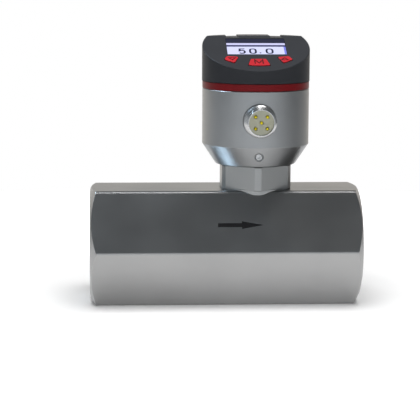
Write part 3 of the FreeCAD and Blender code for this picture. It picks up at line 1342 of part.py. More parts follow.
def make_key_switches():
    """Three key switches on the display board, one under each key's stem."""
    body = face_body("key_switches")
    bodies = new_sketch(body, "XY_Plane", z="-board_drop")
    plungers = new_sketch(body, "XY_Plane", z="-board_drop")
    half = "switch_size / 2"
    for key in KEYS.values():
        x, y = key["stem"]
        rectangle(bodies, f"{x} - {half}", f"{y} - {half}", f"{x} + {half}", f"{y} + {half}")
        circle(plungers, "switch_size / 2", x=x, y=y)
    pad(body, bodies, "switch_body")
    pad(body, plungers, "switch_height")


def make_key(label, key):
    """Key: crown in the cap's opening, flange behind the face, and stem above its switch."""
    body = face_body(label)
    back = "(cap_wall + key_flange_gap)"
    flange_back = f"({back} + key_flange)"
    stem_end = "(board_drop - switch_height - key_travel - stack_gap)"
    crown = new_sketch(body, "XY_Plane", z=f"-{back}")
    key_outline(crown, key, "0", KEY_RIM)
    pad(body, crown, f"{back} + key_raise")
    dress(body, "Fillet", "key_corner", lambda edge: runs_along(edge, Z_AXIS))
    top = value("key_raise")
    dress(body, "Fillet", "key_edge",
          lambda edge: all(abs(vertex.Z - top) < NEAR for vertex in edge.Vertexes))
    flange = new_sketch(body, "XY_Plane", z=f"-{back}")
    key_outline(flange, key, "key_flange_reach", f"({KEY_RIM} - key_flange_reach)")
    pad(body, flange, "key_flange", downwards=True)
    stem = new_sketch(body, "XY_Plane", z=f"-{flange_back}")
    x, y = key["stem"]
    circle(stem, "key_stem", x=x, y=y)
    pad(body, stem, f"{stem_end} - {flange_back}", downwards=True)


# ---------------------------------------------------------------- the whole meter


def make_bar_side():
    """Everything that stays with the bar, and the rotor that spins in it."""
    make_meter_body()
    make_cartridge()
    make_rotor()
    make_rotor_train()
    make_neck()
    make_stem_ring()
    make_pickup()
    make_round_ring("neck_seal", f"(neck_thread / 2 + {SEAL_HALF})", "seal_section - 2 * close_fit",
                    x="head_offset", z="bar_flats - seat_depth - seal_section / 2")
    make_round_ring("stem_seal", "(stem_diameter / 2 - seal_section / 2 + close_fit)", "seal_section",
                    x="head_offset", z=f"bar_flats + {SEAL_MIDDLE}")


def make_sensor_head():
    """Everything that turns on the neck."""
    make_sensor_housing()
    make_accent_ring()
    make_lock_screw()
    make_connector_shell()
    make_connector_insert()
    make_connector_pins()
    make_connector_nut()
    make_connector_seal()
    make_board_carrier()
    make_carrier_screws()
    make_main_board()
    make_cap_ring()


def make_display_head():
    """Everything that turns on the housing, and the three keys."""
    make_display_cap()
    make_display_stack()
    make_board_screws()
    make_key_switches()
    middle = f"({HOUSING_INSIDE} / 2 - cap_seal_section / 2 - close_fit)"
    make_round_ring("cap_seal", middle, "cap_seal_section", x="head_offset", z=f"{CAP_FOOT} - seal_drop")
    for label, key in KEYS.items():
        make_key(label, key)


def check_model():
    """Stop unless every object is up to date and every piece is a valid solid."""
    for thing in MODEL.Objects:
        if "Invalid" in thing.State or "Error" in thing.State:
            raise RuntimeError(f"{thing.Label}: {thing.State}")
    for piece in PIECES:
        if piece.Shape.isNull() or not piece.Shape.isValid() or not piece.Shape.Solids:
            raise RuntimeError(f"{piece.Label} is not a valid solid")


def write_pieces():
    """Write each piece to a file of its own, named by its label."""
    os.makedirs("parts", exist_ok=True)
    for piece in PIECES:
        piece.Shape.exportStep(os.path.join("parts", piece.Label + ".step"))
        print(piece.Label, len(piece.Shape.Solids), "solid(s)", round(piece.Shape.Volume, 1), "mm3")


fill_sheet()
make_bar_side()
make_sensor_head()
make_display_head()
MODEL.recompute()
check_model()
write_pieces()
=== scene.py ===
import json
import logging
import math
from collections.abc import Sequence
from dataclasses import dataclass
from enum import Enum

import bpy
from mathutils import Matrix, Vector


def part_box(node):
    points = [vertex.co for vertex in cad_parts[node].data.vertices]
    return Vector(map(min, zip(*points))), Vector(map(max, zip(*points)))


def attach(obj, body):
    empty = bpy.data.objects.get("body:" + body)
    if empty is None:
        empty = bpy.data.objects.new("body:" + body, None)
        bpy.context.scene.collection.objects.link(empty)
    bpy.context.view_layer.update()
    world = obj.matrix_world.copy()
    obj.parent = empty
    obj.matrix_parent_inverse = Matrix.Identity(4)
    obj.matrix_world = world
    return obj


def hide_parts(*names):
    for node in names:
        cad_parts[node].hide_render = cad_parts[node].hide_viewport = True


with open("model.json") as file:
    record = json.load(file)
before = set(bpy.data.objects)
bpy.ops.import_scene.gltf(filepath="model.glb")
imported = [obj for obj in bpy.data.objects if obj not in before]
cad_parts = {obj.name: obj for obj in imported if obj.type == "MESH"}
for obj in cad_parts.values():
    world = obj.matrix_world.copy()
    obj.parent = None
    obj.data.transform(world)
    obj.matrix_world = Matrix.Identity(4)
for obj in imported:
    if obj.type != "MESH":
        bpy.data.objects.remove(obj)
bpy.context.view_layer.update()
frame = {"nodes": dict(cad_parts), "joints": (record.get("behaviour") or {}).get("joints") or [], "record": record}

# Turbine flow meter in a small white studio. Lengths are in metres in the part's own frame:
# X runs with the flow, the display and the connector face -Y, and Z is up.

LOG = logging.getLogger("flow_meter")
MM = 0.001
# Points of a piece that lie closer than this are merged.
MERGE = 0.0005 * MM
Colour = tuple[float, float, float]
Place = tuple[float, float, float]
Point = tuple[float, float]


# ------------------------------------------------------------------ shader nodes


class Lay(Enum):
    """Which way a surface's fine marks run."""

    EVEN = "no direction"
    AROUND_X = "round the X axis"
    AROUND_Y = "round the Y axis"
    AROUND_Z = "round the Z axis"


LAY_AXIS = {Lay.AROUND_X: 0, Lay.AROUND_Y: 1, Lay.AROUND_Z: 2}


class ShaderSheet:
    """A shader's node tree, with short calls to add and join nodes."""

    def __init__(self, tree: bpy.types.NodeTree) -> None:
        """Work on a tree."""
        self.tree = tree

    def add(self, kind: str, **inputs: object) -> bpy.types.Node:
        """Add a node and fill its inputs.

        Args:
            kind: Node type without its ShaderNode prefix.
            inputs: Values or sockets by input name, with spaces as underscores.

        Returns:
            The new node.
        """
        node = self.tree.nodes.new("ShaderNode" + kind)
        for name, value in inputs.items():
            self.feed(node.inputs[name.replace("_", " ")], value)
        return node

    def feed(self, socket: bpy.types.NodeSocket, value: object) -> None:
        """Link a socket to an input, or set the input's own value.

        Args:
            socket: The input.
            value: Output socket or plain value to give it.
        """
        if isinstance(value, bpy.types.NodeSocket):
            self.tree.links.new(value, socket)
        else:
            socket.default_value = value

    def own(self) -> bpy.types.NodeSocket:
        """Coordinates of the object itself."""
        return self.add("TexCoord").outputs["Object"]

    def combine(self, operation: str, first: object, second: object) -> bpy.types.NodeSocket:
        """Add a Math node for two values.

        Args:
            operation: What it does, by the node's own name for it.
            first: First socket or number.
            second: Second socket or number.

        Returns:
            The result's socket.
        """
        node = self.tree.nodes.new("ShaderNodeMath")
        node.operation = operation
        self.feed(node.inputs[0], first)
        self.feed(node.inputs[1], second)
        return node.outputs[0]

    def ramp(self, value: object, start: float, end: float, low: float, high: float) -> bpy.types.NodeSocket:
        """Pass softly from one value to another.

        Args:
            value: Socket that drives it.
            start: Input at which it starts.
            end: Input at which it ends.
            low: Result at the start.
            high: Result at the end.

        Returns:
            The result's socket.
        """
        node = self.add("MapRange", Value=value)
        node.interpolation_type = "SMOOTHSTEP"
        for name, number in (("From Min", start), ("From Max", end), ("To Min", low), ("To Max", high)):
            node.inputs[name].default_value = number
        return node.outputs["Result"]

    def length(self, vector: object) -> bpy.types.NodeSocket:
        """Measure a vector.

        Args:
            vector: Socket of the vector.

        Returns:
            Socket of its length.
        """
        node = self.tree.nodes.new("ShaderNodeVectorMath")
        node.operation = "LENGTH"
        self.feed(node.inputs[0], vector)
        return node.outputs["Value"]

    def blend(self, factor: object, first: Colour, second: Colour) -> bpy.types.NodeSocket:
        """Mix two colours.

        Args:
            factor: Socket with the second colour's share.
            first: First colour.
            second: Second colour.

        Returns:
            The mixed colour's socket.
        """
        mix = self.tree.nodes.new("ShaderNodeMix")
        mix.data_type = "RGBA"
        self.feed(mix.inputs["Factor"], factor)
        mix.inputs["A"].default_value = (*first, 1)
        mix.inputs["B"].default_value = (*second, 1)
        return mix.outputs["Result"]


class NodeSheet(ShaderSheet):
    """A material's node tree with a Principled shader, and calls for patterns."""

    # How much marks that run round an axis change along their own way.
    DRIFT = 0.01

    def __init__(self, name: str) -> None:
        """Start a material with a bare Principled shader.

        Args:
            name: Name of the material.
        """
        self.material = bpy.data.materials.new(name)
        self.material.use_nodes = True
        super().__init__(self.material.node_tree)
        self.shader = self.tree.nodes["Principled BSDF"]

    def surface(self, **inputs: object) -> None:
        """Fill inputs of the shader, by name with spaces as underscores."""
        for name, value in inputs.items():
            self.feed(self.shader.inputs[name.replace("_", " ")], value)

    def spread(self, value: object, low: float, high: float) -> bpy.types.NodeSocket:
        """Map a noise value, which stays near one half, to a range."""
        return self.ramp(value, 0.25, 0.75, low, high)

    def coordinates(self, lay: Lay, centre: Vector) -> bpy.types.NodeSocket:
        """Give the pattern's coordinates: the object's own, or radius and height about an axis.

        Args:
            lay: Which way the marks run.
            centre: A point on the axis that they run round.

        Returns:
            The vector socket to feed a texture with.
        """
        own = self.own()
        if lay is Lay.EVEN:
            return own
        axis = LAY_AXIS[lay]
        centred = self.add("Mapping", Vector=own, Location=-centre).outputs[0]
        flat = self.add("VectorMath")
        flat.operation = "MULTIPLY"
        self.feed(flat.inputs[0], centred)
        flat.inputs[1].default_value = [float(index != axis) for index in range(3)]
        parts = self.add("SeparateXYZ", Vector=centred).outputs
        drift = self.combine("MULTIPLY", parts[(axis + 1) % 3], self.DRIFT)
        radius = self.length(flat.outputs[0])
        return self.add("CombineXYZ", X=radius, Y=parts[axis], Z=drift).outputs[0]

    def noise(self, vector: bpy.types.NodeSocket, scale: float, detail: float = 2.0) -> bpy.types.NodeSocket:
        """Add a noise pattern and return its value."""
        return self.add("TexNoise", Vector=vector, Scale=scale, Detail=detail).outputs[0]

    def tint(self, colour: Colour, value: bpy.types.NodeSocket, spread: float) -> bpy.types.NodeSocket:
        """Vary a colour's brightness up and down with a noise value.

        Args:
            colour: The colour.
            value: Noise value.
            spread: Greatest change, as a share of the colour.

        Returns:
            The tinted colour's socket.
        """
        dark = tuple(part * (1 - spread) for part in colour)
        light = tuple(min(part * (1 + spread), 1) for part in colour)
        return self.blend(self.spread(value, 0.0, 1.0), dark, light)

    def bump(self, value: bpy.types.NodeSocket, depth: float, edge: float) -> bpy.types.NodeSocket:
        """Turn a height pattern into a normal over softened edges.

        Args:
            value: Height pattern.
            depth: Height of the pattern in metres.
            edge: Radius of the softened edges in metres.

        Returns:
            The normal socket.
        """
        node = self.add("Bump", Height=value, Distance=depth)
        if edge > 0:
            rounded = self.add("Bevel", Radius=edge)
            rounded.samples = 4
            self.feed(node.inputs["Normal"], rounded.outputs[0])
        return node.outputs[0]


# ------------------------------------------------------------------ finishes


@dataclass(frozen=True)
class Finish:
    """A surface finish.

    Attributes:
        name: Name of the finish.
        colour: Base colour.
        roughness: Roughness at its middle.
    """

    name: str
    colour: Colour
    roughness: float

    def build(self) -> bpy.types.Material:
        """Make the material, unless it is already made.

        Returns:
            The material.
        """
        title = self.name + "_finish"
        found = bpy.data.materials.get(title)
        if found is None:
            sheet = NodeSheet(title)
            self.dress(sheet)
            found = sheet.material
        return found

    def dress(self, sheet: NodeSheet) -> None:
        """Fill the material's node tree."""
        raise NotImplementedError


@dataclass(frozen=True)
class Metal(Finish):
    """Bare or plated metal with fine marks.

    Attributes:
        lay: Which way the marks run.
        centre: Point on the axis that they run round.
        grain: Scale of the marks.
        depth: Height of the marks.
        edge: Radius of the softened edges.
        variation: Change of colour between patches, as a share.
        patches: Scale of the patches.
        streak: How far reflections are drawn out across the marks.
    """

    lay: Lay = Lay.EVEN
    centre: Place = (0.0, 0.0, 0.0)
    grain: float = 3500.0
    depth: float = 0.004 * MM
    edge: float = 0.15 * MM
    variation: float = 0.06
    patches: float = 28.0
    streak: float = 0.0

    def dress(self, sheet: NodeSheet) -> None:
        """Grain in the bump, with broad patches in colour and roughness.

        Args:
            sheet: The material's node tree.
        """
        marks = sheet.noise(sheet.coordinates(self.lay, Vector(self.centre)), self.grain)
        cloud = sheet.noise(sheet.own(), self.patches, 4.0)
        rough = sheet.spread(cloud, self.roughness * 0.9, self.roughness * 1.1)
        fine = sheet.spread(marks, -0.03, 0.03)
        sheet.surface(
            Metallic=1.0,
            Base_Color=sheet.tint(self.colour, cloud, self.variation),
            Roughness=sheet.combine("ADD", rough, fine),
            Normal=sheet.bump(marks, self.depth, self.edge),
        )
        if self.streak > 0:
            tangent = sheet.add("Tangent")
            tangent.direction_type = "RADIAL"
            tangent.axis = "XYZ"[LAY_AXIS[self.lay]]
            sheet.surface(Anisotropic=self.streak, Tangent=tangent.outputs[0])


@dataclass(frozen=True)
class Plastic(Finish):
    """Moulded plastic or rubber with a fine spark-eroded texture.

    Attributes:
        gloss: Strength of its reflections.
        grain: Scale of the texture.
        depth: Height of the texture.
        edge: Radius of the softened edges.
        variation: Change of colour between patches, as a share.
        patches: Scale of the patches.
    """

    gloss: float = 0.2
    grain: float = 2600.0
    depth: float = 0.006 * MM
    edge: float = 0.12 * MM
    variation: float = 0.05
    patches: float = 60.0

    def dress(self, sheet: NodeSheet) -> None:
        """Fine texture in the bump, and slight patches in colour and roughness.

        Args:
            sheet: The material's node tree.
        """
        own = sheet.own()
        marks = sheet.noise(own, self.grain)
        cloud = sheet.noise(own, self.patches, 3.0)
        sheet.surface(
            Base_Color=sheet.tint(self.colour, cloud, self.variation),
            Roughness=sheet.spread(cloud, self.roughness * 0.92, self.roughness * 1.08),
            Specular_IOR_Level=self.gloss,
            Normal=sheet.bump(marks, self.depth, self.edge),
        )


@dataclass(frozen=True)
class Ink(Finish):
    """Printed or lasered mark.

    Attributes:
        gloss: Strength of its reflections.
        variation: Change of colour between patches, as a share.
        patches: Scale of the patches.
    """

    gloss: float = 0.1
    variation: float = 0.15
    patches: float = 1500.0

    def dress(self, sheet: NodeSheet) -> None:
        """Slightly uneven ink with little gloss.

        Args:
            sheet: The material's node tree.
        """
        cloud = sheet.noise(sheet.own(), self.patches, 3.0)
        sheet.surface(
            Base_Color=sheet.tint(self.colour, cloud, self.variation),
            Roughness=self.roughness,
            Specular_IOR_Level=self.gloss,
        )


@dataclass(frozen=True)
class Lit(Finish):
    """Part of a backlit display: it glows about as bright as its colour.

    Attributes:
        dot: Height of the display's rows of dots.
        glow: Strength of the backlight.
        unlit: Brightness without the backlight, as a share of the colour.
        gloss: Strength of its reflections.
        variation: Change of colour between rows, as a share.
    """

    dot: float = 0.21 * MM
    glow: float = 0.85
    unlit: float = 0.2
    gloss: float = 0.1
    variation: float = 0.03

    def dress(self, sheet: NodeSheet) -> None:
        """Faint rows over an even glow.

        Args:
            sheet: The material's node tree.
        """
        rows = sheet.add("TexWave", Vector=sheet.own(), Scale=math.pi / (10 * self.dot)).outputs[0]
        sheet.surface(
            Emission_Color=sheet.tint(self.colour, rows, self.variation),
            Emission_Strength=self.glow,
            Specular_IOR_Level=self.gloss,
            Base_Color=(*[part * self.unlit for part in self.colour], 1),
            Roughness=self.roughness,
        )


@dataclass(frozen=True)
class ClearPane(Finish):
    """Clear window with a thin reflection.

    Attributes:
        alpha: How much of what lies behind it is hidden.
        smears: Scale of the wiping marks.
    """

    alpha: float = 0.1
    smears: float = 180.0

    def dress(self, sheet: NodeSheet) -> None:
        """See-through sheet with faint wiping marks in its gloss.

        Args:
            sheet: The material's node tree.
        """
        smear = sheet.noise(sheet.own(), self.smears, 4.0)
        sheet.surface(
            Base_Color=(*self.colour, 1),
            Alpha=self.alpha,
            Roughness=sheet.spread(smear, self.roughness * 0.6, self.roughness * 1.6),
        )


# ------------------------------------------------------------------ modelling


def start_fresh() -> None:
    """Leave edit mode and deselect everything."""
    if bpy.context.object is not None and bpy.context.object.mode != "OBJECT":
        bpy.ops.object.mode_set(mode="OBJECT")
    bpy.ops.object.select_all(action="DESELECT")


def take(piece: bpy.types.Object) -> None:
    """Select one piece alone and make it the active one.

    Args:
        piece: The piece.
    """
    start_fresh()
    piece.select_set(True)
    bpy.context.view_layer.objects.active = piece


def newest(name: str) -> bpy.types.Object:
    """Name the object that an operator has just added.

    Args:
        name: Its name.

    Returns:
        The object.
    """
    piece = bpy.context.object
    piece.name = name
    piece.data.name = name
    return piece


def edit(piece: bpy.types.Object, kind: str = "VERT") -> None:
    """Enter edit mode on one piece, with nothing selected.

    Args:
        piece: The piece.
        kind: What is to be selected: VERT, EDGE or FACE.
    """
    take(piece)
    bpy.ops.object.mode_set(mode="EDIT")
    bpy.ops.mesh.select_mode(type=kind)
    bpy.ops.mesh.select_all(action="DESELECT")


def profile_line(name: str, points: Sequence[Point]) -> bpy.types.Object:
    """Draw a line in the XZ plane, vertex by vertex, and stay in edit mode.

    Args:
        name: Name of the piece.
        points: The line's points, as (radius, height).

    Returns:
        The new piece.
    """
    start_fresh()
    bpy.ops.mesh.primitive_plane_add(size=MM)
    piece = newest(name)
    edit(piece)
    bpy.ops.object.mode_set(mode="OBJECT")
    for vertex in piece.data.vertices[1:]:
        vertex.select = True
    bpy.ops.object.mode_set(mode="EDIT")
    bpy.ops.mesh.delete(type="VERT")
    bpy.ops.object.mode_set(mode="OBJECT")
    piece.data.vertices[0].co = (points[0][0], 0, points[0][1])
    piece.data.vertices[0].select = True
    bpy.ops.object.mode_set(mode="EDIT")
    for before, after in zip(points, points[1:]):
        step = (after[0] - before[0], 0, after[1] - before[1])
        bpy.ops.mesh.extrude_region_move(TRANSFORM_OT_translate={"value": step})
    return piece


def merge_all() -> None:
    """Select all of the mesh in edit mode and merge its doubled points."""
    bpy.ops.mesh.select_all(action="SELECT")
    bpy.ops.mesh.remove_doubles(threshold=MERGE)


def clean(piece: bpy.types.Object, angle: float = 30.0) -> None:
    """Merge doubled points, point the faces outwards and smooth the flatter edges.

    Args:
        piece: The piece.
        angle: Angle in degrees below which an edge is smoothed.
    """
    edit(piece)
    merge_all()
    bpy.ops.mesh.normals_make_consistent(inside=False)
    bpy.ops.object.mode_set(mode="OBJECT")
    bpy.ops.object.shade_smooth_by_angle(angle=math.radians(angle))


def turned(name: str, points: Sequence[Point], steps: int = 96) -> bpy.types.Object:
    """Spin a closed outline round the Z axis.

    Args:
        name: Name of the piece.
        points: The outline's points, as (radius, height).
        steps: Number of steps in the turn.

    Returns:
        The new piece.
    """
    piece = profile_line(name, [*points, points[0]])
    bpy.ops.mesh.select_all(action="SELECT")
    bpy.ops.mesh.spin(steps=steps, angle=math.tau, center=(0, 0, 0), axis=(0, 0, 1))
    clean(piece)
    return piece


def finish_with(piece: bpy.types.Object, kind: str, **settings: object) -> None:
    """Add a modifier and apply it.

    Args:
        piece: The piece.
        kind: Kind of modifier.
        settings: The modifier's settings by name.
    """
    take(piece)
    modifier = piece.modifiers.new(kind.lower(), kind)
    for name, value in settings.items():
        setattr(modifier, name, value)
    bpy.ops.object.modifier_apply(modifier=modifier.name)


def settle(piece: bpy.types.Object, place: Matrix) -> None:
    """Move a piece to its place and leave its object at the origin, unturned and unscaled.

    Args:
        piece: The piece.
        place: Its place.
    """
    take(piece)
    piece.matrix_world = place @ piece.matrix_world
    bpy.ops.object.transform_apply(location=True, rotation=True, scale=True)


def join(name: str, pieces: Sequence[bpy.types.Object]) -> bpy.types.Object:
    """Join pieces into one.

    Args:
        name: Name of the whole.
        pieces: The pieces.

    Returns:
        The whole.
    """
    start_fresh()
    for piece in pieces:
        piece.select_set(True)
    bpy.context.view_layer.objects.active = pieces[0]
    bpy.ops.object.join()
    return newest(name)


def stroke(name: str, points: Sequence[Point], width: float, thick: float,
           closed: bool = False) -> bpy.types.Object:
    """Draw a printed line of even width through points, lying in XY.

    Args:
        name: Name of the piece.
        points: Points of the line's middle.
        width: Width of the line.
        thick: Thickness of the print.
        closed: Whether the line ends where it starts.

    Returns:
        The new piece.
    """
    piece = profile_line(name, [*points, points[0]] if closed else points)
    merge_all()
    bpy.ops.mesh.extrude_region_move(TRANSFORM_OT_translate={"value": (0, thick, 0)})
    bpy.ops.object.mode_set(mode="OBJECT")
    finish_with(piece, "SOLIDIFY", thickness=width, offset=0, use_even_offset=True)
    lying = Matrix.Rotation(-math.pi / 2, 4, "X") @ Matrix.Translation((0, -thick / 2, 0))
    settle(piece, lying)
    clean(piece)
    return piece


def paint(piece: bpy.types.Object, *finishes: Finish) -> None:
    """Give a piece its finishes in place of any it had.

    Args:
        piece: The piece.
        finishes: The finishes, in the order of its material slots.
    """
    piece.data.materials.clear()
    for finish in finishes:
        piece.data.materials.append(finish.build())


def put_on(piece: bpy.types.Object, body: str) -> None:
    """Give a new piece the body it moves with, and log it.

    Args:
        piece: The piece.
        body: Name of the body.
    """
    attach(piece, body)
    LOG.info("made %s on %s, %d faces", piece.name, body, len(piece.data.polygons))


def dress_node(node: str, finish: Finish) -> None:
    """Give a node of the frame a better finish."""
    paint(frame["nodes"][node], finish)
    LOG.info("dressed %s in %s", node, finish.name)


def mount(name: str) -> dict:
    """One of the record's mounts."""
    return next(entry for entry in frame["record"]["mounts"] if entry["name"] == name)


def joint(name: str) -> dict:
    """One of the record's joints."""
    return next(entry for entry in frame["joints"] if entry["name"] == name)


def reach(node: str, direction: Vector) -> float:
    """How far a node reaches along a direction from the frame's origin."""
    return max(vertex.co.dot(direction) for vertex in frame["nodes"][node].data.vertices)


# ------------------------------------------------------------------ finishes of this meter

BAR_AXIS = tuple(mount("inlet_port")["pos_m"])
HEAD_AXIS = tuple(joint("housing_turn")["pos_m"])
CONNECTOR_AXIS = tuple(mount("cable_connector")["pos_m"])

BAR_STEEL = Metal("bar_steel", (0.37, 0.37, 0.37), 0.34, depth=0.006 * MM, edge=0.25 * MM)
NECK_STEEL = Metal("neck_steel", (0.33, 0.335, 0.335), 0.36, Lay.AROUND_Z, HEAD_AXIS, depth=0.0,
                   edge=0.12 * MM)
HOUSING_STEEL = Metal("housing_steel", (0.34, 0.345, 0.35), 0.34, Lay.AROUND_Z, HEAD_AXIS, edge=0.2 * MM)
CONNECTOR_METAL = Metal("connector_metal", (0.6, 0.6, 0.6), 0.27, Lay.AROUND_Y, CONNECTOR_AXIS,
                        edge=0.08 * MM)
SCREW_STEEL = Metal("screw_steel", (0.55, 0.55, 0.55), 0.28, Lay.AROUND_Y, CONNECTOR_AXIS, edge=0.05 * MM)
SHAFT_STEEL = Metal("shaft_steel", (0.6, 0.6, 0.6), 0.16, Lay.AROUND_X, BAR_AXIS, edge=0.05 * MM)
SPRING_STEEL = Metal("spring_steel", (0.35, 0.35, 0.36), 0.32, edge=0.08 * MM)
THREAD_STEEL = Metal("thread_steel", (0.42, 0.42, 0.41), 0.3, Lay.AROUND_X, BAR_AXIS, edge=0.05 * MM)
PIN_GOLD = Metal("pin_gold", (0.8, 0.66, 0.03), 0.35, Lay.AROUND_Y, CONNECTOR_AXIS, edge=0.1 * MM)
WINDING_COPPER = Metal("winding_copper", (0.72, 0.4, 0.22), 0.3, grain=5000.0)
MAGNET_METAL = Metal("magnet", (0.3, 0.3, 0.32), 0.5)
CAP_PLASTIC = Plastic("cap_plastic", (0.036, 0.038, 0.043), 0.42, gloss=0.1)
RING_RED = Plastic("ring_red", (0.17, 0.005, 0.008), 0.35, depth=0.002 * MM)
KEY_RED = Plastic("key_red", (0.5, 0.022, 0.032), 0.4, depth=0.003 * MM)
SEAL_RUBBER = Plastic("seal_rubber", (0.02, 0.02, 0.02), 0.5)
INSERT_METAL = Metal("insert_metal", (0.42, 0.41, 0.32), 0.36, Lay.AROUND_Y, CONNECTOR_AXIS,
                     edge=0.05 * MM, streak=0.85)
ROTOR_PLASTIC = Plastic("rotor_plastic", (0.72, 0.71, 0.66), 0.38)
STRAIGHTENER_PLASTIC = Plastic("straightener_plastic", (0.58, 0.58, 0.54), 0.42)
BEARING_STONE = Plastic("bearing_stone", (0.4, 0.03, 0.1), 0.12, depth=0.001 * MM)
BOBBIN_PLASTIC = Plastic("bobbin_plastic", (0.03, 0.03, 0.035), 0.45)
BOARD_GREEN = Plastic("board_green", (0.02, 0.14, 0.05), 0.35, depth=0.003 * MM)
SWITCH_PLASTIC = Plastic("switch_plastic", (0.05, 0.05, 0.055), 0.4)
PANEL_GLASS = Plastic("panel_glass", (0.2, 0.2, 0.28), 0.2, depth=0.001 * MM)
FRAME_PLASTIC = Plastic("frame_plastic", (0.03, 0.03, 0.033), 0.5)
WINDOW_PANE = ClearPane("window_pane", (0.75, 0.78, 0.86), 0.12)
ARROW_INK = Ink("arrow_ink", (0.012, 0.012, 0.013), 0.5)
LEGEND_INK = Ink("legend_ink", (0.05, 0.012, 0.014), 0.5)
SLATE = Lit("screen_slate", (0.025, 0.028, 0.055), 0.3)
LAVENDER = Lit("screen_lavender", (0.62, 0.62, 0.9), 0.3)
NAVY = Lit("screen_navy", (0.015, 0.018, 0.09), 0.3)
PALE = Lit("screen_pale", (0.68, 0.7, 1.0), 0.3)
STRIP = Lit("screen_strip", (0.22, 0.24, 0.75), 0.3)
DIGIT = Lit("screen_digit", (0.02, 0.022, 0.05), 0.3)


# ------------------------------------------------------------------ sub-assemblies


@dataclass
class Assembly:
    """Nodes of the frame that belong together, and the pieces that are added to them.

    Attributes:
        name: What the log calls it.
        finishes: The finish of each of its nodes.
    """

    name: str
    finishes: dict[str, Finish]

    def build(self) -> None:
        """Dress the nodes and add the new pieces."""
        LOG.info("building the %s", self.name)
        for node, finish in self.finishes.items():
            dress_node(node, finish)
        self.add_pieces()

    def add_pieces(self) -> None:
        """Add the sub-assembly's new pieces."""
        raise NotImplementedError


def toward(axis: Vector, origin: Vector) -> Matrix:
    """Place that turns +Z to an axis and moves the origin to a point."""
    return Matrix.Translation(origin) @ axis.to_track_quat("Z", "Y").to_matrix().to_4x4()


@dataclass
class Thread:
    """Helical ridge of a screw thread.

    Attributes:
        name: Name of the piece.
        root: Radius at which the ridge stands.
        crest: Radius of its crest, smaller than the root in a hole.
        pitch: Distance between turns.
        length: Length of the threaded stretch.
        flank: Length of each flank, as a share of the pitch.
        flat: Length of the flat crest, as a share of the pitch.
        bite: How deep the ridge's foot is sunk in what it stands on.
        steps: Number of steps in a turn.
    """

    name: str
    root: float
    crest: float
    pitch: float
    length: float
    flank: float = 0.38
    flat: float = 0.12
    bite: float = 0.03 * MM
    steps: int = 72

    def build(self) -> bpy.types.Object:
        """Draw the ridge's section and turn it into a helix about +Z, starting at the origin.

        Returns:
            The new piece.
        """
        foot = self.root + math.copysign(self.bite, self.root - self.crest)
        section = [
            (foot, 0),
            (self.crest, self.pitch * self.flank),
            (self.crest, self.pitch * (self.flank + self.flat)),
            (foot, self.pitch * (2 * self.flank + self.flat)),
        ]
        piece = profile_line(self.name, section)
        bpy.ops.object.mode_set(mode="OBJECT")
        turns = math.floor(self.length / self.pitch) - 1
        finish_with(piece, "SCREW", axis="Z", screw_offset=self.pitch, iterations=turns,
                    steps=self.steps, render_steps=self.steps)
        clean(piece, 40)
        return piece


@dataclass
class FlowArrow:
    """Plain arrow printed on the bar's upper front face.

    Attributes:
        start: X of the tail.
        neck: X of the head's base.
        tip: X of the tip.
        line: Height of the arrow's middle line above the floor.
        bar: Width of the tail.
        head: Width of the head.
        thick: Thickness of the print.
        lean: Angle between the face and the upright, in degrees.
    """

    start: float = -4.0 * MM
    neck: float = 6.3 * MM
    tip: float = 15.6 * MM
    line: float = 36.45 * MM
    bar: float = 1.8 * MM
    head: float = 3.5 * MM
    thick: float = 0.02 * MM
    lean: float = 30.0

    def build(self) -> None:
        """Outline the arrow, fill it, thicken it and lay it on the face."""
        bar, head = self.bar / 2, self.head / 2
        corners = [(self.start, -bar), (self.neck, -bar), (self.neck, -head), (self.tip, 0),
                   (self.neck, head), (self.neck, bar), (self.start, bar)]
        piece = profile_line("flow_arrow", [*corners, corners[0]])
        merge_all()
        bpy.ops.mesh.edge_face_add()
        bpy.ops.object.mode_set(mode="OBJECT")
        finish_with(piece, "SOLIDIFY", thickness=self.thick, offset=0)
        clean(piece)
        settle(piece, self.place())
        paint(piece, ARROW_INK)
        put_on(piece, "meter")

    def place(self) -> Matrix:
        """Find where the arrow's drawing plane lies on the hexagon bar.

        Returns:
            The place.
        """
        low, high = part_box("meter_body")
        half = (high.z - low.z) / 2
        lean = math.radians(self.lean)
        normal = Vector((0, -math.cos(lean), math.sin(lean)))
        flow = Vector((1, 0, 0))
        upward = normal.cross(flow)
        along = (self.line - half - half * normal.z) / upward.z
        foot = Vector((0, 0, half)) + normal * half + upward * along
        return Matrix.Translation(foot) @ Matrix((flow, -normal, upward)).transposed().to_4x4()


@dataclass
class BarSide(Assembly):
    """Bar with its ports, the neck and the cartridge that carries the rotor.

    Attributes:
        pitch: Pitch of the port threads.
        depth: Depth of the port threads.
    """

    pitch: float = 2.309 * MM
    depth: float = 0.6 * MM

    def add_pieces(self) -> None:
        """Thread in each port, and the flow arrow."""
        for port in ("inlet_port", "outlet_port"):
            hole = mount(port)
            radius = hole["dims"]["r_mm"] * MM
            length = hole["dims"]["length_mm"] * MM
            axis = Vector(hole["axis"])
            thread = Thread(port + "_thread", radius, radius - self.depth, self.pitch, length)
            piece = thread.build()
            settle(piece, toward(axis, Vector(hole["pos_m"]) - axis * length / 2))
            paint(piece, THREAD_STEEL)
            put_on(piece, "meter")
        FlowArrow().build()


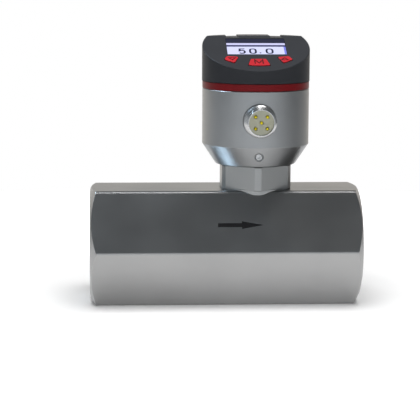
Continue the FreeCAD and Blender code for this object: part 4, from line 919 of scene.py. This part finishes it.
@dataclass
class ConnectorShell:
    """Connector's metal shell: flange, shoulder, threaded barrel and open cavity.

    Attributes:
        pitch: Pitch of the barrel's thread.
        depth: Depth of that thread.
        cavity: Radius of the cavity.
        bore: Radius of the bore behind the cavity.
        cavity_depth: Depth of the cavity.
        flange_side: Height of the flange's straight side.
        shoulder: Height of the shoulder.
        tail: Radius of the tail behind the flange.
        edge: Size of the small chamfers.
    """

    pitch: float = 1.0 * MM
    depth: float = 0.45 * MM
    cavity: float = 5.5 * MM
    bore: float = 4.6 * MM
    cavity_depth: float = 1.7 * MM
    flange_side: float = 2.9 * MM
    shoulder: float = 1.1 * MM
    tail: float = 5.2 * MM
    edge: float = 0.25 * MM

    def build(self) -> None:
        """Turn the shell, add its thread and put both where the node is."""
        plug = mount("cable_connector")
        low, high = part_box("connector_shell")
        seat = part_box("sensor_housing")[0].y
        crest = plug["dims"]["r_mm"] * MM
        root = crest - self.depth
        flange = (high.x - low.x) / 2
        collar = self.flange_side + self.shoulder
        rim = seat - low.y
        back = seat - high.y
        edge = self.edge
        body = turned("connector_shell_turned", [
            (self.bore, back),
            (self.tail, back),
            (self.tail, 0),
            (flange, 0),
            (flange, self.flange_side),
            (crest, collar),
            (root, collar + edge),
            (root, rim - edge),
            (root - edge, rim),
            (self.cavity + edge / 2, rim),
            (self.cavity, rim - edge / 2),
            (self.cavity, rim - self.cavity_depth),
            (self.bore, rim - self.cavity_depth),
        ])
        ridge = Thread("connector_ridge", root, crest, self.pitch, rim - collar - edge).build()
        settle(ridge, Matrix.Translation((0, 0, collar)))
        piece = join("connector_barrel", [body, ridge])
        origin = Vector(plug["pos_m"])
        origin.y = seat
        settle(piece, toward(Vector(plug["axis"]), origin))
        paint(piece, CONNECTOR_METAL)
        put_on(piece, "sensor_head")
        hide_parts("connector_shell")


@dataclass
class SensorHead(Assembly):
    """Housing that turns on the neck, with its connector and main board."""

    def add_pieces(self) -> None:
        """Connector's shell with its thread."""
        ConnectorShell().build()


class Face:
    """The cap's sloping face as a drawing plane."""

    # Depth within which points count as part of a node's uppermost surface.
    SKIN = 0.02 * MM

    def __init__(self) -> None:
        """Read the slope from the keys' travel and the place from the window."""
        self.normal = -Vector(joint("menu_press")["axis"]).normalized()
        self.across = Vector((1, 0, 0))
        self.upward = self.normal.cross(self.across)
        self.panel = self.middle("display_window")

    def place(self, point: Vector, level: float) -> Matrix:
        """Place that lays a drawing in XY on the slope, at a point's side and row.

        Args:
            point: Point that the drawing's origin goes over.
            level: Distance of the drawing's plane from the frame's origin, along the normal.

        Returns:
            The place.
        """
        turn = Matrix((self.across, self.upward, self.normal)).transposed().to_4x4()
        lifted = point + self.normal * (level - point.dot(self.normal))
        return Matrix.Translation(lifted) @ turn

    def size(self, node: str) -> tuple[float, float]:
        """Measure a node's uppermost surface.

        Args:
            node: Name of the node.

        Returns:
            Its width and its length along the slope.
        """
        top = reach(node, self.normal) - self.SKIN
        corners = [vertex.co for vertex in frame["nodes"][node].data.vertices
                   if vertex.co.dot(self.normal) > top]
        spans = ([corner.dot(side) for corner in corners] for side in (self.across, self.upward))
        return tuple(max(span) - min(span) for span in spans)

    def middle(self, node: str) -> Vector:
        """Find the point halfway across and halfway up a node.

        Args:
            node: Name of the node.

        Returns:
            The point, at the level of the frame's origin.
        """
        sides = (self.across, self.upward)
        halves = [side * (reach(node, side) - reach(node, -side)) / 2 for side in sides]
        return halves[0] + halves[1]


# Line of a numeral five in a box of one unit.
FIVE = ((0.5, 0.5), (-0.4, 0.5), (-0.46, 0.06), (-0.2, 0.15), (0.1, 0.16), (0.36, 0.08), (0.5, -0.08),
        (0.5, -0.26), (0.36, -0.42), (0.1, -0.5), (-0.22, -0.5), (-0.5, -0.38))


def zero(steps: int = 28, roundness: float = 0.65) -> tuple[Point, ...]:
    """Draw a numeral nought in a box of one unit.

    Args:
        steps: Number of its points.
        roundness: 1 for an ellipse, and less for a squarer loop.

    Returns:
        Its points.
    """
    turns = [math.tau * step / steps for step in range(steps)]
    sides = ((math.cos(turn), math.sin(turn)) for turn in turns)
    return tuple((math.copysign(abs(x) ** roundness, x) / 2, math.copysign(abs(y) ** roundness, y) / 2)
                 for x, y in sides)


@dataclass(frozen=True)
class Glyph:
    """One numeral of the reading, in metres from the window's middle.

    Attributes:
        points: Its line in a box of one unit.
        side: Its middle, across.
        row: Its middle, up the slope.
        width: Width over its line.
        height: Height over its line.
        closed: Whether its line is a loop.
    """

    points: tuple[Point, ...]
    side: float
    row: float
    width: float
    height: float
    closed: bool = True

    def build(self, name: str, line: float, thick: float) -> bpy.types.Object:
        """Draw the numeral, centred on the origin.

        Args:
            name: Name of the piece.
            line: Width of its line.
            thick: Thickness of the print.

        Returns:
            The new piece.
        """
        points = [(x * (self.width - line), y * (self.height - line)) for x, y in self.points]
        return stroke(name, points, line, thick, self.closed)


@dataclass
class Screen:
    """Picture laminated to the window pane: a title band, a rule and the reading.

    Attributes:
        bands: Height at which each band ends, counted from the window's middle, and its finish.
        strip: Side at which the strip along the right edge starts.
        glyphs: The numerals of the reading.
        line: Width of their lines.
        point: Middle of the decimal point, across and up the slope.
        point_radius: Radius of the decimal point.
        film: Thickness of the picture and of the reading.
        picture_level: Height of the picture's middle over the pane, as a share of the film.
        reading_level: Height of the reading's middle over the pane, as a share of the film.
    """

    bands: tuple[tuple[float, Finish], ...] = (
        (-0.04 * MM, PALE),
        (1.54 * MM, NAVY),
        (3.6 * MM, LAVENDER),
        (20 * MM, SLATE),
    )
    strip: float = 11.9 * MM
    glyphs: tuple[Glyph, ...] = (
        Glyph(FIVE, -6.39 * MM, -4.64 * MM, 3.16 * MM, 5.27 * MM, closed=False),
        Glyph(zero(), -1.70 * MM, -4.64 * MM, 3.36 * MM, 5.27 * MM),
        Glyph(zero(), 5.52 * MM, -4.64 * MM, 3.44 * MM, 5.27 * MM),
    )
    line: float = 0.85 * MM
    point: Point = (1.45 * MM, -6.43 * MM)
    point_radius: float = 0.45 * MM
    film: float = 0.02 * MM
    picture_level: float = 0.6
    reading_level: float = 1.2

    def build(self, face: Face) -> None:
        """Lay the picture on the window pane and the reading on the picture.

        Args:
            face: The cap's face.
        """
        pane = reach("display_window", face.normal)
        picture = self.cut_bands(*face.size("display_window"))
        settle(picture, face.place(face.panel, pane + self.film * self.picture_level))
        put_on(picture, "display_head")
        level = pane + self.film * self.reading_level
        for number, glyph in enumerate(self.glyphs, start=1):
            piece = glyph.build(f"reading_{number}", self.line, self.film)
            self.lay(piece, face, (glyph.side, glyph.row), level)
        start_fresh()
        bpy.ops.mesh.primitive_cylinder_add(radius=self.point_radius, depth=self.film, vertices=24)
        self.lay(newest("reading_point"), face, self.point, level)

    def cut_bands(self, width: float, height: float) -> bpy.types.Object:
        """Cut a thin sheet into bands and give each its finish.

        Args:
            width: Width of the sheet.
            height: Height of the sheet.

        Returns:
            The sheet, centred on the origin.
        """
        start_fresh()
        bpy.ops.mesh.primitive_cube_add(size=1)
        sheet = newest("screen_picture")
        settle(sheet, Matrix.Diagonal((width, height, self.film, 1)))
        cuts = [((0, row, 0), (0, 1, 0)) for row, _ in self.bands[:-1]]
        cuts.append(((self.strip, 0, 0), (1, 0, 0)))
        for point, direction in cuts:
            edit(sheet, "FACE")
            bpy.ops.mesh.select_all(action="SELECT")
            bpy.ops.mesh.bisect(plane_co=point, plane_no=direction)
        bpy.ops.object.mode_set(mode="OBJECT")
        paint(sheet, *[finish for _, finish in self.bands], STRIP)
        for polygon in sheet.data.polygons:
            polygon.material_index = self.band(polygon.center)
        return sheet

    def band(self, spot: Vector) -> int:
        """Choose the material slot of a spot of the sheet.

        Args:
            spot: The spot, from the sheet's middle.

        Returns:
            The slot's number; the strip's is the last.
        """
        if spot.x > self.strip and spot.y < self.bands[0][0]:
            return len(self.bands)
        return next(number for number, (row, _) in enumerate(self.bands) if spot.y < row)

    def lay(self, piece: bpy.types.Object, face: Face, spot: Point, level: float) -> None:
        """Lay one mark of the reading on the picture.

        Args:
            piece: The mark.
            face: The cap's face.
            spot: Middle of the mark, across and up the slope from the window's middle.
            level: Level of the mark's middle.
        """
        point = face.panel + face.across * spot[0] + face.upward * spot[1]
        settle(piece, face.place(point, level))
        paint(piece, DIGIT)
        put_on(piece, "display_head")


@dataclass
class KeyLegends:
    """Marks printed on the three keys: a triangle down, a letter and a triangle up.

    Attributes:
        letter: Width and height of the letter, over its line.
        dip: How far the letter's middle dips, as a share of half its height.
        triangle: Width and height of the triangles, at the middle of their line.
        line: Width of the lines.
        thick: Thickness of the print.
        level: Height of the print's middle over the key, as a share of its thickness.
    """

    letter: Point = (3.9 * MM, 4.4 * MM)
    dip: float = 0.7
    triangle: Point = (3.0 * MM, 2.1 * MM)
    line: float = 0.5 * MM
    thick: float = 0.03 * MM
    level: float = 0.45

    def build(self, face: Face) -> None:
        """Draw each mark and lay it on the top of its key.

        Args:
            face: The cap's face.
        """
        width, height = ((size - self.line) / 2 for size in self.letter)
        side, tip = self.triangle[0] / 2, self.triangle[1] / 2
        marks = (
            ("down_key", [(-side, tip), (side, tip), (0, -tip)], True),
            ("menu_key", [(-width, -height), (-width, height), (0, -height * self.dip),
                          (width, height), (width, -height)], False),
            ("up_key", [(-side, -tip), (0, tip), (side, -tip)], True),
        )
        for key, points, closed in marks:
            piece = stroke(key + "_mark", points, self.line, self.thick, closed)
            level = reach(key, face.normal) + self.thick * self.level
            settle(piece, face.place(face.middle(key), level))
            paint(piece, LEGEND_INK)
            put_on(piece, key)


@dataclass
class DisplayHead(Assembly):
    """Cap that turns on the housing, with the screen and the keys."""

    def add_pieces(self) -> None:
        """Screen's picture and the keys' marks."""
        face = Face()
        Screen().build(face)
        KeyLegends().build(face)


# ------------------------------------------------------------------ studio


@dataclass(frozen=True)
class Softbox:
    """Rectangular lamp.

    Attributes:
        name: Name of the lamp.
        place: Where it hangs.
        aim: What it points at.
        size: Its width and height.
        power: Its power in watts.
        glossy: Whether it shows in reflections.
        matt: Whether it lights matt surfaces.
        colour: Its colour.
    """

    name: str
    place: Place
    aim: Place
    size: Point
    power: float
    glossy: bool = True
    matt: bool = True
    colour: Colour = (1.0, 1.0, 1.0)

    def build(self) -> None:
        """Hang the lamp."""
        start_fresh()
        bpy.ops.object.light_add(type="AREA", location=self.place)
        lamp = bpy.context.object
        lamp.name = self.name
        lamp.data.shape = "RECTANGLE"
        lamp.data.size, lamp.data.size_y = self.size
        lamp.data.energy = self.power
        lamp.data.color = self.colour
        lamp.visible_glossy = self.glossy
        lamp.visible_diffuse = self.matt
        lamp.visible_camera = False
        direction = Vector(self.aim) - Vector(self.place)
        lamp.rotation_euler = direction.to_track_quat("-Z", "Y").to_euler()
        LOG.info("lamp %s", self.name)


@dataclass(frozen=True)
class View:
    """Camera.

    Attributes:
        target: What it looks at.
        distance: Distance from there.
        yaw: How far it stands round to the left of the front, in degrees.
        pitch: How far it looks down, in degrees.
        roll: Turn about its own line of sight, in degrees.
        lens: Focal length in millimetres.
        sensor: Width of its sensor in millimetres.
    """

    target: Place = (-6.146 * MM, 0.0, 39.562 * MM)
    distance: float = 747.54 * MM
    yaw: float = 3.387
    pitch: float = 8.866
    roll: float = 0.286
    lens: float = 145.66
    sensor: float = 36.0

    def build(self) -> None:
        """Stand the camera up and make it the scene's."""
        yaw, pitch, roll = (math.radians(angle) for angle in (self.yaw, self.pitch, self.roll))
        side = Vector((math.cos(yaw), -math.sin(yaw), 0))
        level = math.cos(pitch)
        forward = Vector((math.sin(yaw) * level, math.cos(yaw) * level, -math.sin(pitch)))
        above = side.cross(forward)
        right = side * math.cos(roll) + above * math.sin(roll)
        upward = above * math.cos(roll) - side * math.sin(roll)
        turn = Matrix((right, upward, -forward)).transposed().to_4x4()
        start_fresh()
        bpy.ops.object.camera_add()
        camera = bpy.context.object
        camera.matrix_world = Matrix.Translation(Vector(self.target) - forward * self.distance) @ turn
        camera.data.lens = self.lens
        camera.data.sensor_width = self.sensor
        bpy.context.scene.camera = camera


@dataclass
class Studio:
    """White studio: world, floor, lamps and camera.

    Attributes:
        lamps: The lamps.
        view: The camera.
        sides: Radiance low down on the right.
        ends: How much brighter it is in front and behind.
        left: How much brighter it is on the left.
        above: Radiance overhead.
        low: Sine of the elevation at which the low light starts to fade.
        high: Sine of the elevation above which only the light overhead is left.
        cool: Colour of the light in front.
        warm: Colour of the light behind.
        fill: Share of this light that matt surfaces get.
        floor: Radius of the floor.
        near: Distance from the object's middle within which the floor glows least, so its real shadow shows and
            the floor round the object is darkened by painted shade.
        far: Distance at which the floor has turned white.
        painted_shade_glow: How much the floor is lifted towards white near the object, to the camera; kept low, it
            paints shade round the object.
        far_glow: How much it is lifted far from the object, to the camera.
        mirror_glow: How much it is lifted in reflections.
    """

    lamps: tuple[Softbox, ...] = (
        Softbox("overhead_lamp", (0, -0.3, 1.1), (0, 0, 0), (0.9, 0.9), 17.0, glossy=False),
        Softbox("crown_lamp", (0.0, -0.15, 1.0), (0, 0, 0.07), (0.16, 0.3), 0.7, matt=False),
        Softbox("right_crown_lamp", (0.2, -0.05, 1.0), (0, 0, 0.07), (0.12, 0.3), 0.8, matt=False),
        Softbox("left_rear_lamp", (-0.57, 0.22, 0.8), (0, 0, 0.07), (0.17, 0.2), 6.5,
                matt=False, colour=(0.62, 0.82, 1)),
    )
    view: View = View()
    sides: float = 0.22
    ends: float = 0.68
    left: float = 0.22
    above: float = 0.12
    low: float = 0.15
    high: float = 0.55
    cool: Colour = (0.92, 0.98, 1.03)
    warm: Colour = (1.04, 1.0, 0.94)
    fill: float = 0.25
    floor: float = 0.35
    near: float = 0.08
    far: float = 0.19
    painted_shade_glow: float = 0.13
    far_glow: float = 0.9
    mirror_glow: float = 0.21

    def build(self) -> None:
        """Set everything up round the object."""
        self.light_world()
        self.lay_floor()
        for lamp in self.lamps:
            lamp.build()
        self.view.build()
        bpy.context.scene.view_settings.view_transform = "Standard"

    def light_world(self) -> None:
        """World that is white to the camera, and to all else bright low down and dark above.

        Low down it is brightest in front and behind, dimmer on the left and dimmest on the right.
        """
        world = bpy.data.worlds.new("studio")
        world.use_nodes = True
        bpy.context.scene.world = world
        tree = world.node_tree
        light = tree.nodes["Background"]
        sheet = ShaderSheet(tree)
        parts = sheet.add("SeparateXYZ", Vector=sheet.add("TexCoord").outputs["Generated"]).outputs
        depth = sheet.combine("MULTIPLY", parts["Y"], parts["Y"])
        left = sheet.combine("MAXIMUM", sheet.combine("MULTIPLY", parts["X"], -1.0), 0.0)
        level = sheet.combine("ADD", sheet.combine("MULTIPLY", depth, self.ends), self.sides)
        level = sheet.combine("ADD", level, sheet.combine("MULTIPLY", left, self.left))
        low = sheet.ramp(parts["Z"], self.low, self.high, 1.0, 0.0)
        lower = sheet.combine("MULTIPLY", level, low)
        upper = sheet.combine("MULTIPLY", sheet.combine("SUBTRACT", 1.0, low), self.above)
        path = sheet.add("LightPath").outputs
        share = sheet.ramp(path["Is Diffuse Ray"], 0.0, 1.0, 1.0, self.fill)
        both = sheet.combine("ADD", lower, upper)
        sheet.feed(light.inputs["Strength"], sheet.combine("MULTIPLY", both, share))
        rear = sheet.ramp(parts["Y"], 0.0, 0.8, 0.0, 1.0)
        sheet.feed(light.inputs["Color"], sheet.blend(rear, self.cool, self.warm))
        white = sheet.add("Background", Color=(1, 1, 1, 1))
        mix = sheet.add("MixShader", Fac=path["Is Camera Ray"])
        tree.links.new(light.outputs[0], mix.inputs[1])
        tree.links.new(white.outputs[0], mix.inputs[2])
        tree.links.new(mix.outputs[0], tree.nodes["World Output"].inputs["Surface"])

    def lay_floor(self) -> None:
        """Lay a round pale floor that shows white far out and keeps the object's real shadow, with painted shade
        round the object where it glows less.
        """
        start_fresh()
        bpy.ops.mesh.primitive_circle_add(vertices=96, radius=self.floor, fill_type="NGON")
        floor = newest("floor")
        sheet = NodeSheet("floor_white")
        own = sheet.own()
        cloud = sheet.noise(own, 40.0, 3.0)
        path = sheet.add("LightPath").outputs
        # The glow is least near the object: painted shade round it, on top of the real shadow from the lamps.
        glow = sheet.ramp(sheet.length(own), self.near, self.far, self.painted_shade_glow, self.far_glow)
        seen = sheet.combine("MULTIPLY", path["Is Camera Ray"], glow)
        mirrored = sheet.combine("MULTIPLY", path["Is Glossy Ray"], self.mirror_glow)
        sheet.surface(
            Base_Color=sheet.tint((0.8, 0.8, 0.8), cloud, 0.01),
            Roughness=0.9,
            Specular_IOR_Level=0.0,
            Emission_Color=(1, 1, 1, 1),
            Emission_Strength=sheet.combine("MAXIMUM", seen, mirrored),
        )
        floor.data.materials.append(sheet.material)
        LOG.info("laid the floor")


# ------------------------------------------------------------------ the whole scene


def bar_side() -> BarSide:
    """Gather the bar, ports, cartridge, rotor and neck with their finishes.

    Returns:
        The sub-assembly.
    """
    finishes = {"meter_body": BAR_STEEL, "turbine_rotor": ROTOR_PLASTIC, "rotor_shaft": SHAFT_STEEL}
    for end in ("inlet", "outlet"):
        finishes[end + "_straightener"] = STRAIGHTENER_PLASTIC
        finishes[end + "_retaining_ring"] = SPRING_STEEL
        finishes[end + "_bearing"] = BEARING_STONE
        finishes[end + "_thrust_washer"] = BEARING_STONE
    for node in ("neck_fitting", "pickup_case", "pickup_nut"):
        finishes[node] = NECK_STEEL
    finishes |= {
        "stem_retaining_ring": SPRING_STEEL,
        "pickup_magnet": MAGNET_METAL,
        "pickup_bobbin": BOBBIN_PLASTIC,
        "pickup_winding": WINDING_COPPER,
        "neck_seal": SEAL_RUBBER,
        "stem_seal": SEAL_RUBBER,
    }
    return BarSide("bar side", finishes)


def sensor_head() -> SensorHead:
    """Gather the housing, connector and main board with their finishes.

    Returns:
        The sub-assembly.
    """
    return SensorHead("sensor head", {
        "sensor_housing": HOUSING_STEEL,
        "accent_ring": RING_RED,
        "lock_screw": SCREW_STEEL,
        "connector_shell": CONNECTOR_METAL,
        "connector_insert": INSERT_METAL,
        "connector_pins": PIN_GOLD,
        "connector_nut": CONNECTOR_METAL,
        "connector_seal": SEAL_RUBBER,
        "board_carrier": BOBBIN_PLASTIC,
        "carrier_screws": SCREW_STEEL,
        "main_board": BOARD_GREEN,
    })


def display_head() -> DisplayHead:
    """Gather the cap, screen and keys with their finishes.

    Returns:
        The sub-assembly.
    """
    finishes = {
        "display_cap": CAP_PLASTIC,
        "cap_wire_ring": SPRING_STEEL,
        "cap_seal": SEAL_RUBBER,
        "display_window": WINDOW_PANE,
        "display_panel": PANEL_GLASS,
        "panel_frame": FRAME_PLASTIC,
        "display_board": BOARD_GREEN,
        "display_board_screws": SCREW_STEEL,
        "key_switches": SWITCH_PLASTIC,
    }
    for key in ("down_key", "menu_key", "up_key"):
        finishes[key] = KEY_RED
    return DisplayHead("display head", finishes)


def main() -> None:
    """Dress the frame, add the new pieces and set up the studio."""
    logging.basicConfig(level=logging.INFO, format="%(name)s: %(message)s")
    assemblies = (bar_side(), sensor_head(), display_head())
    dressed = {node for assembly in assemblies for node in assembly.finishes}
    missing = set(frame["nodes"]) - dressed
    if missing:
        raise ValueError(f"nodes with no finish: {sorted(missing)}")
    for assembly in assemblies:
        assembly.build()
    Studio().build()


if __name__ == "__main__":
    main()
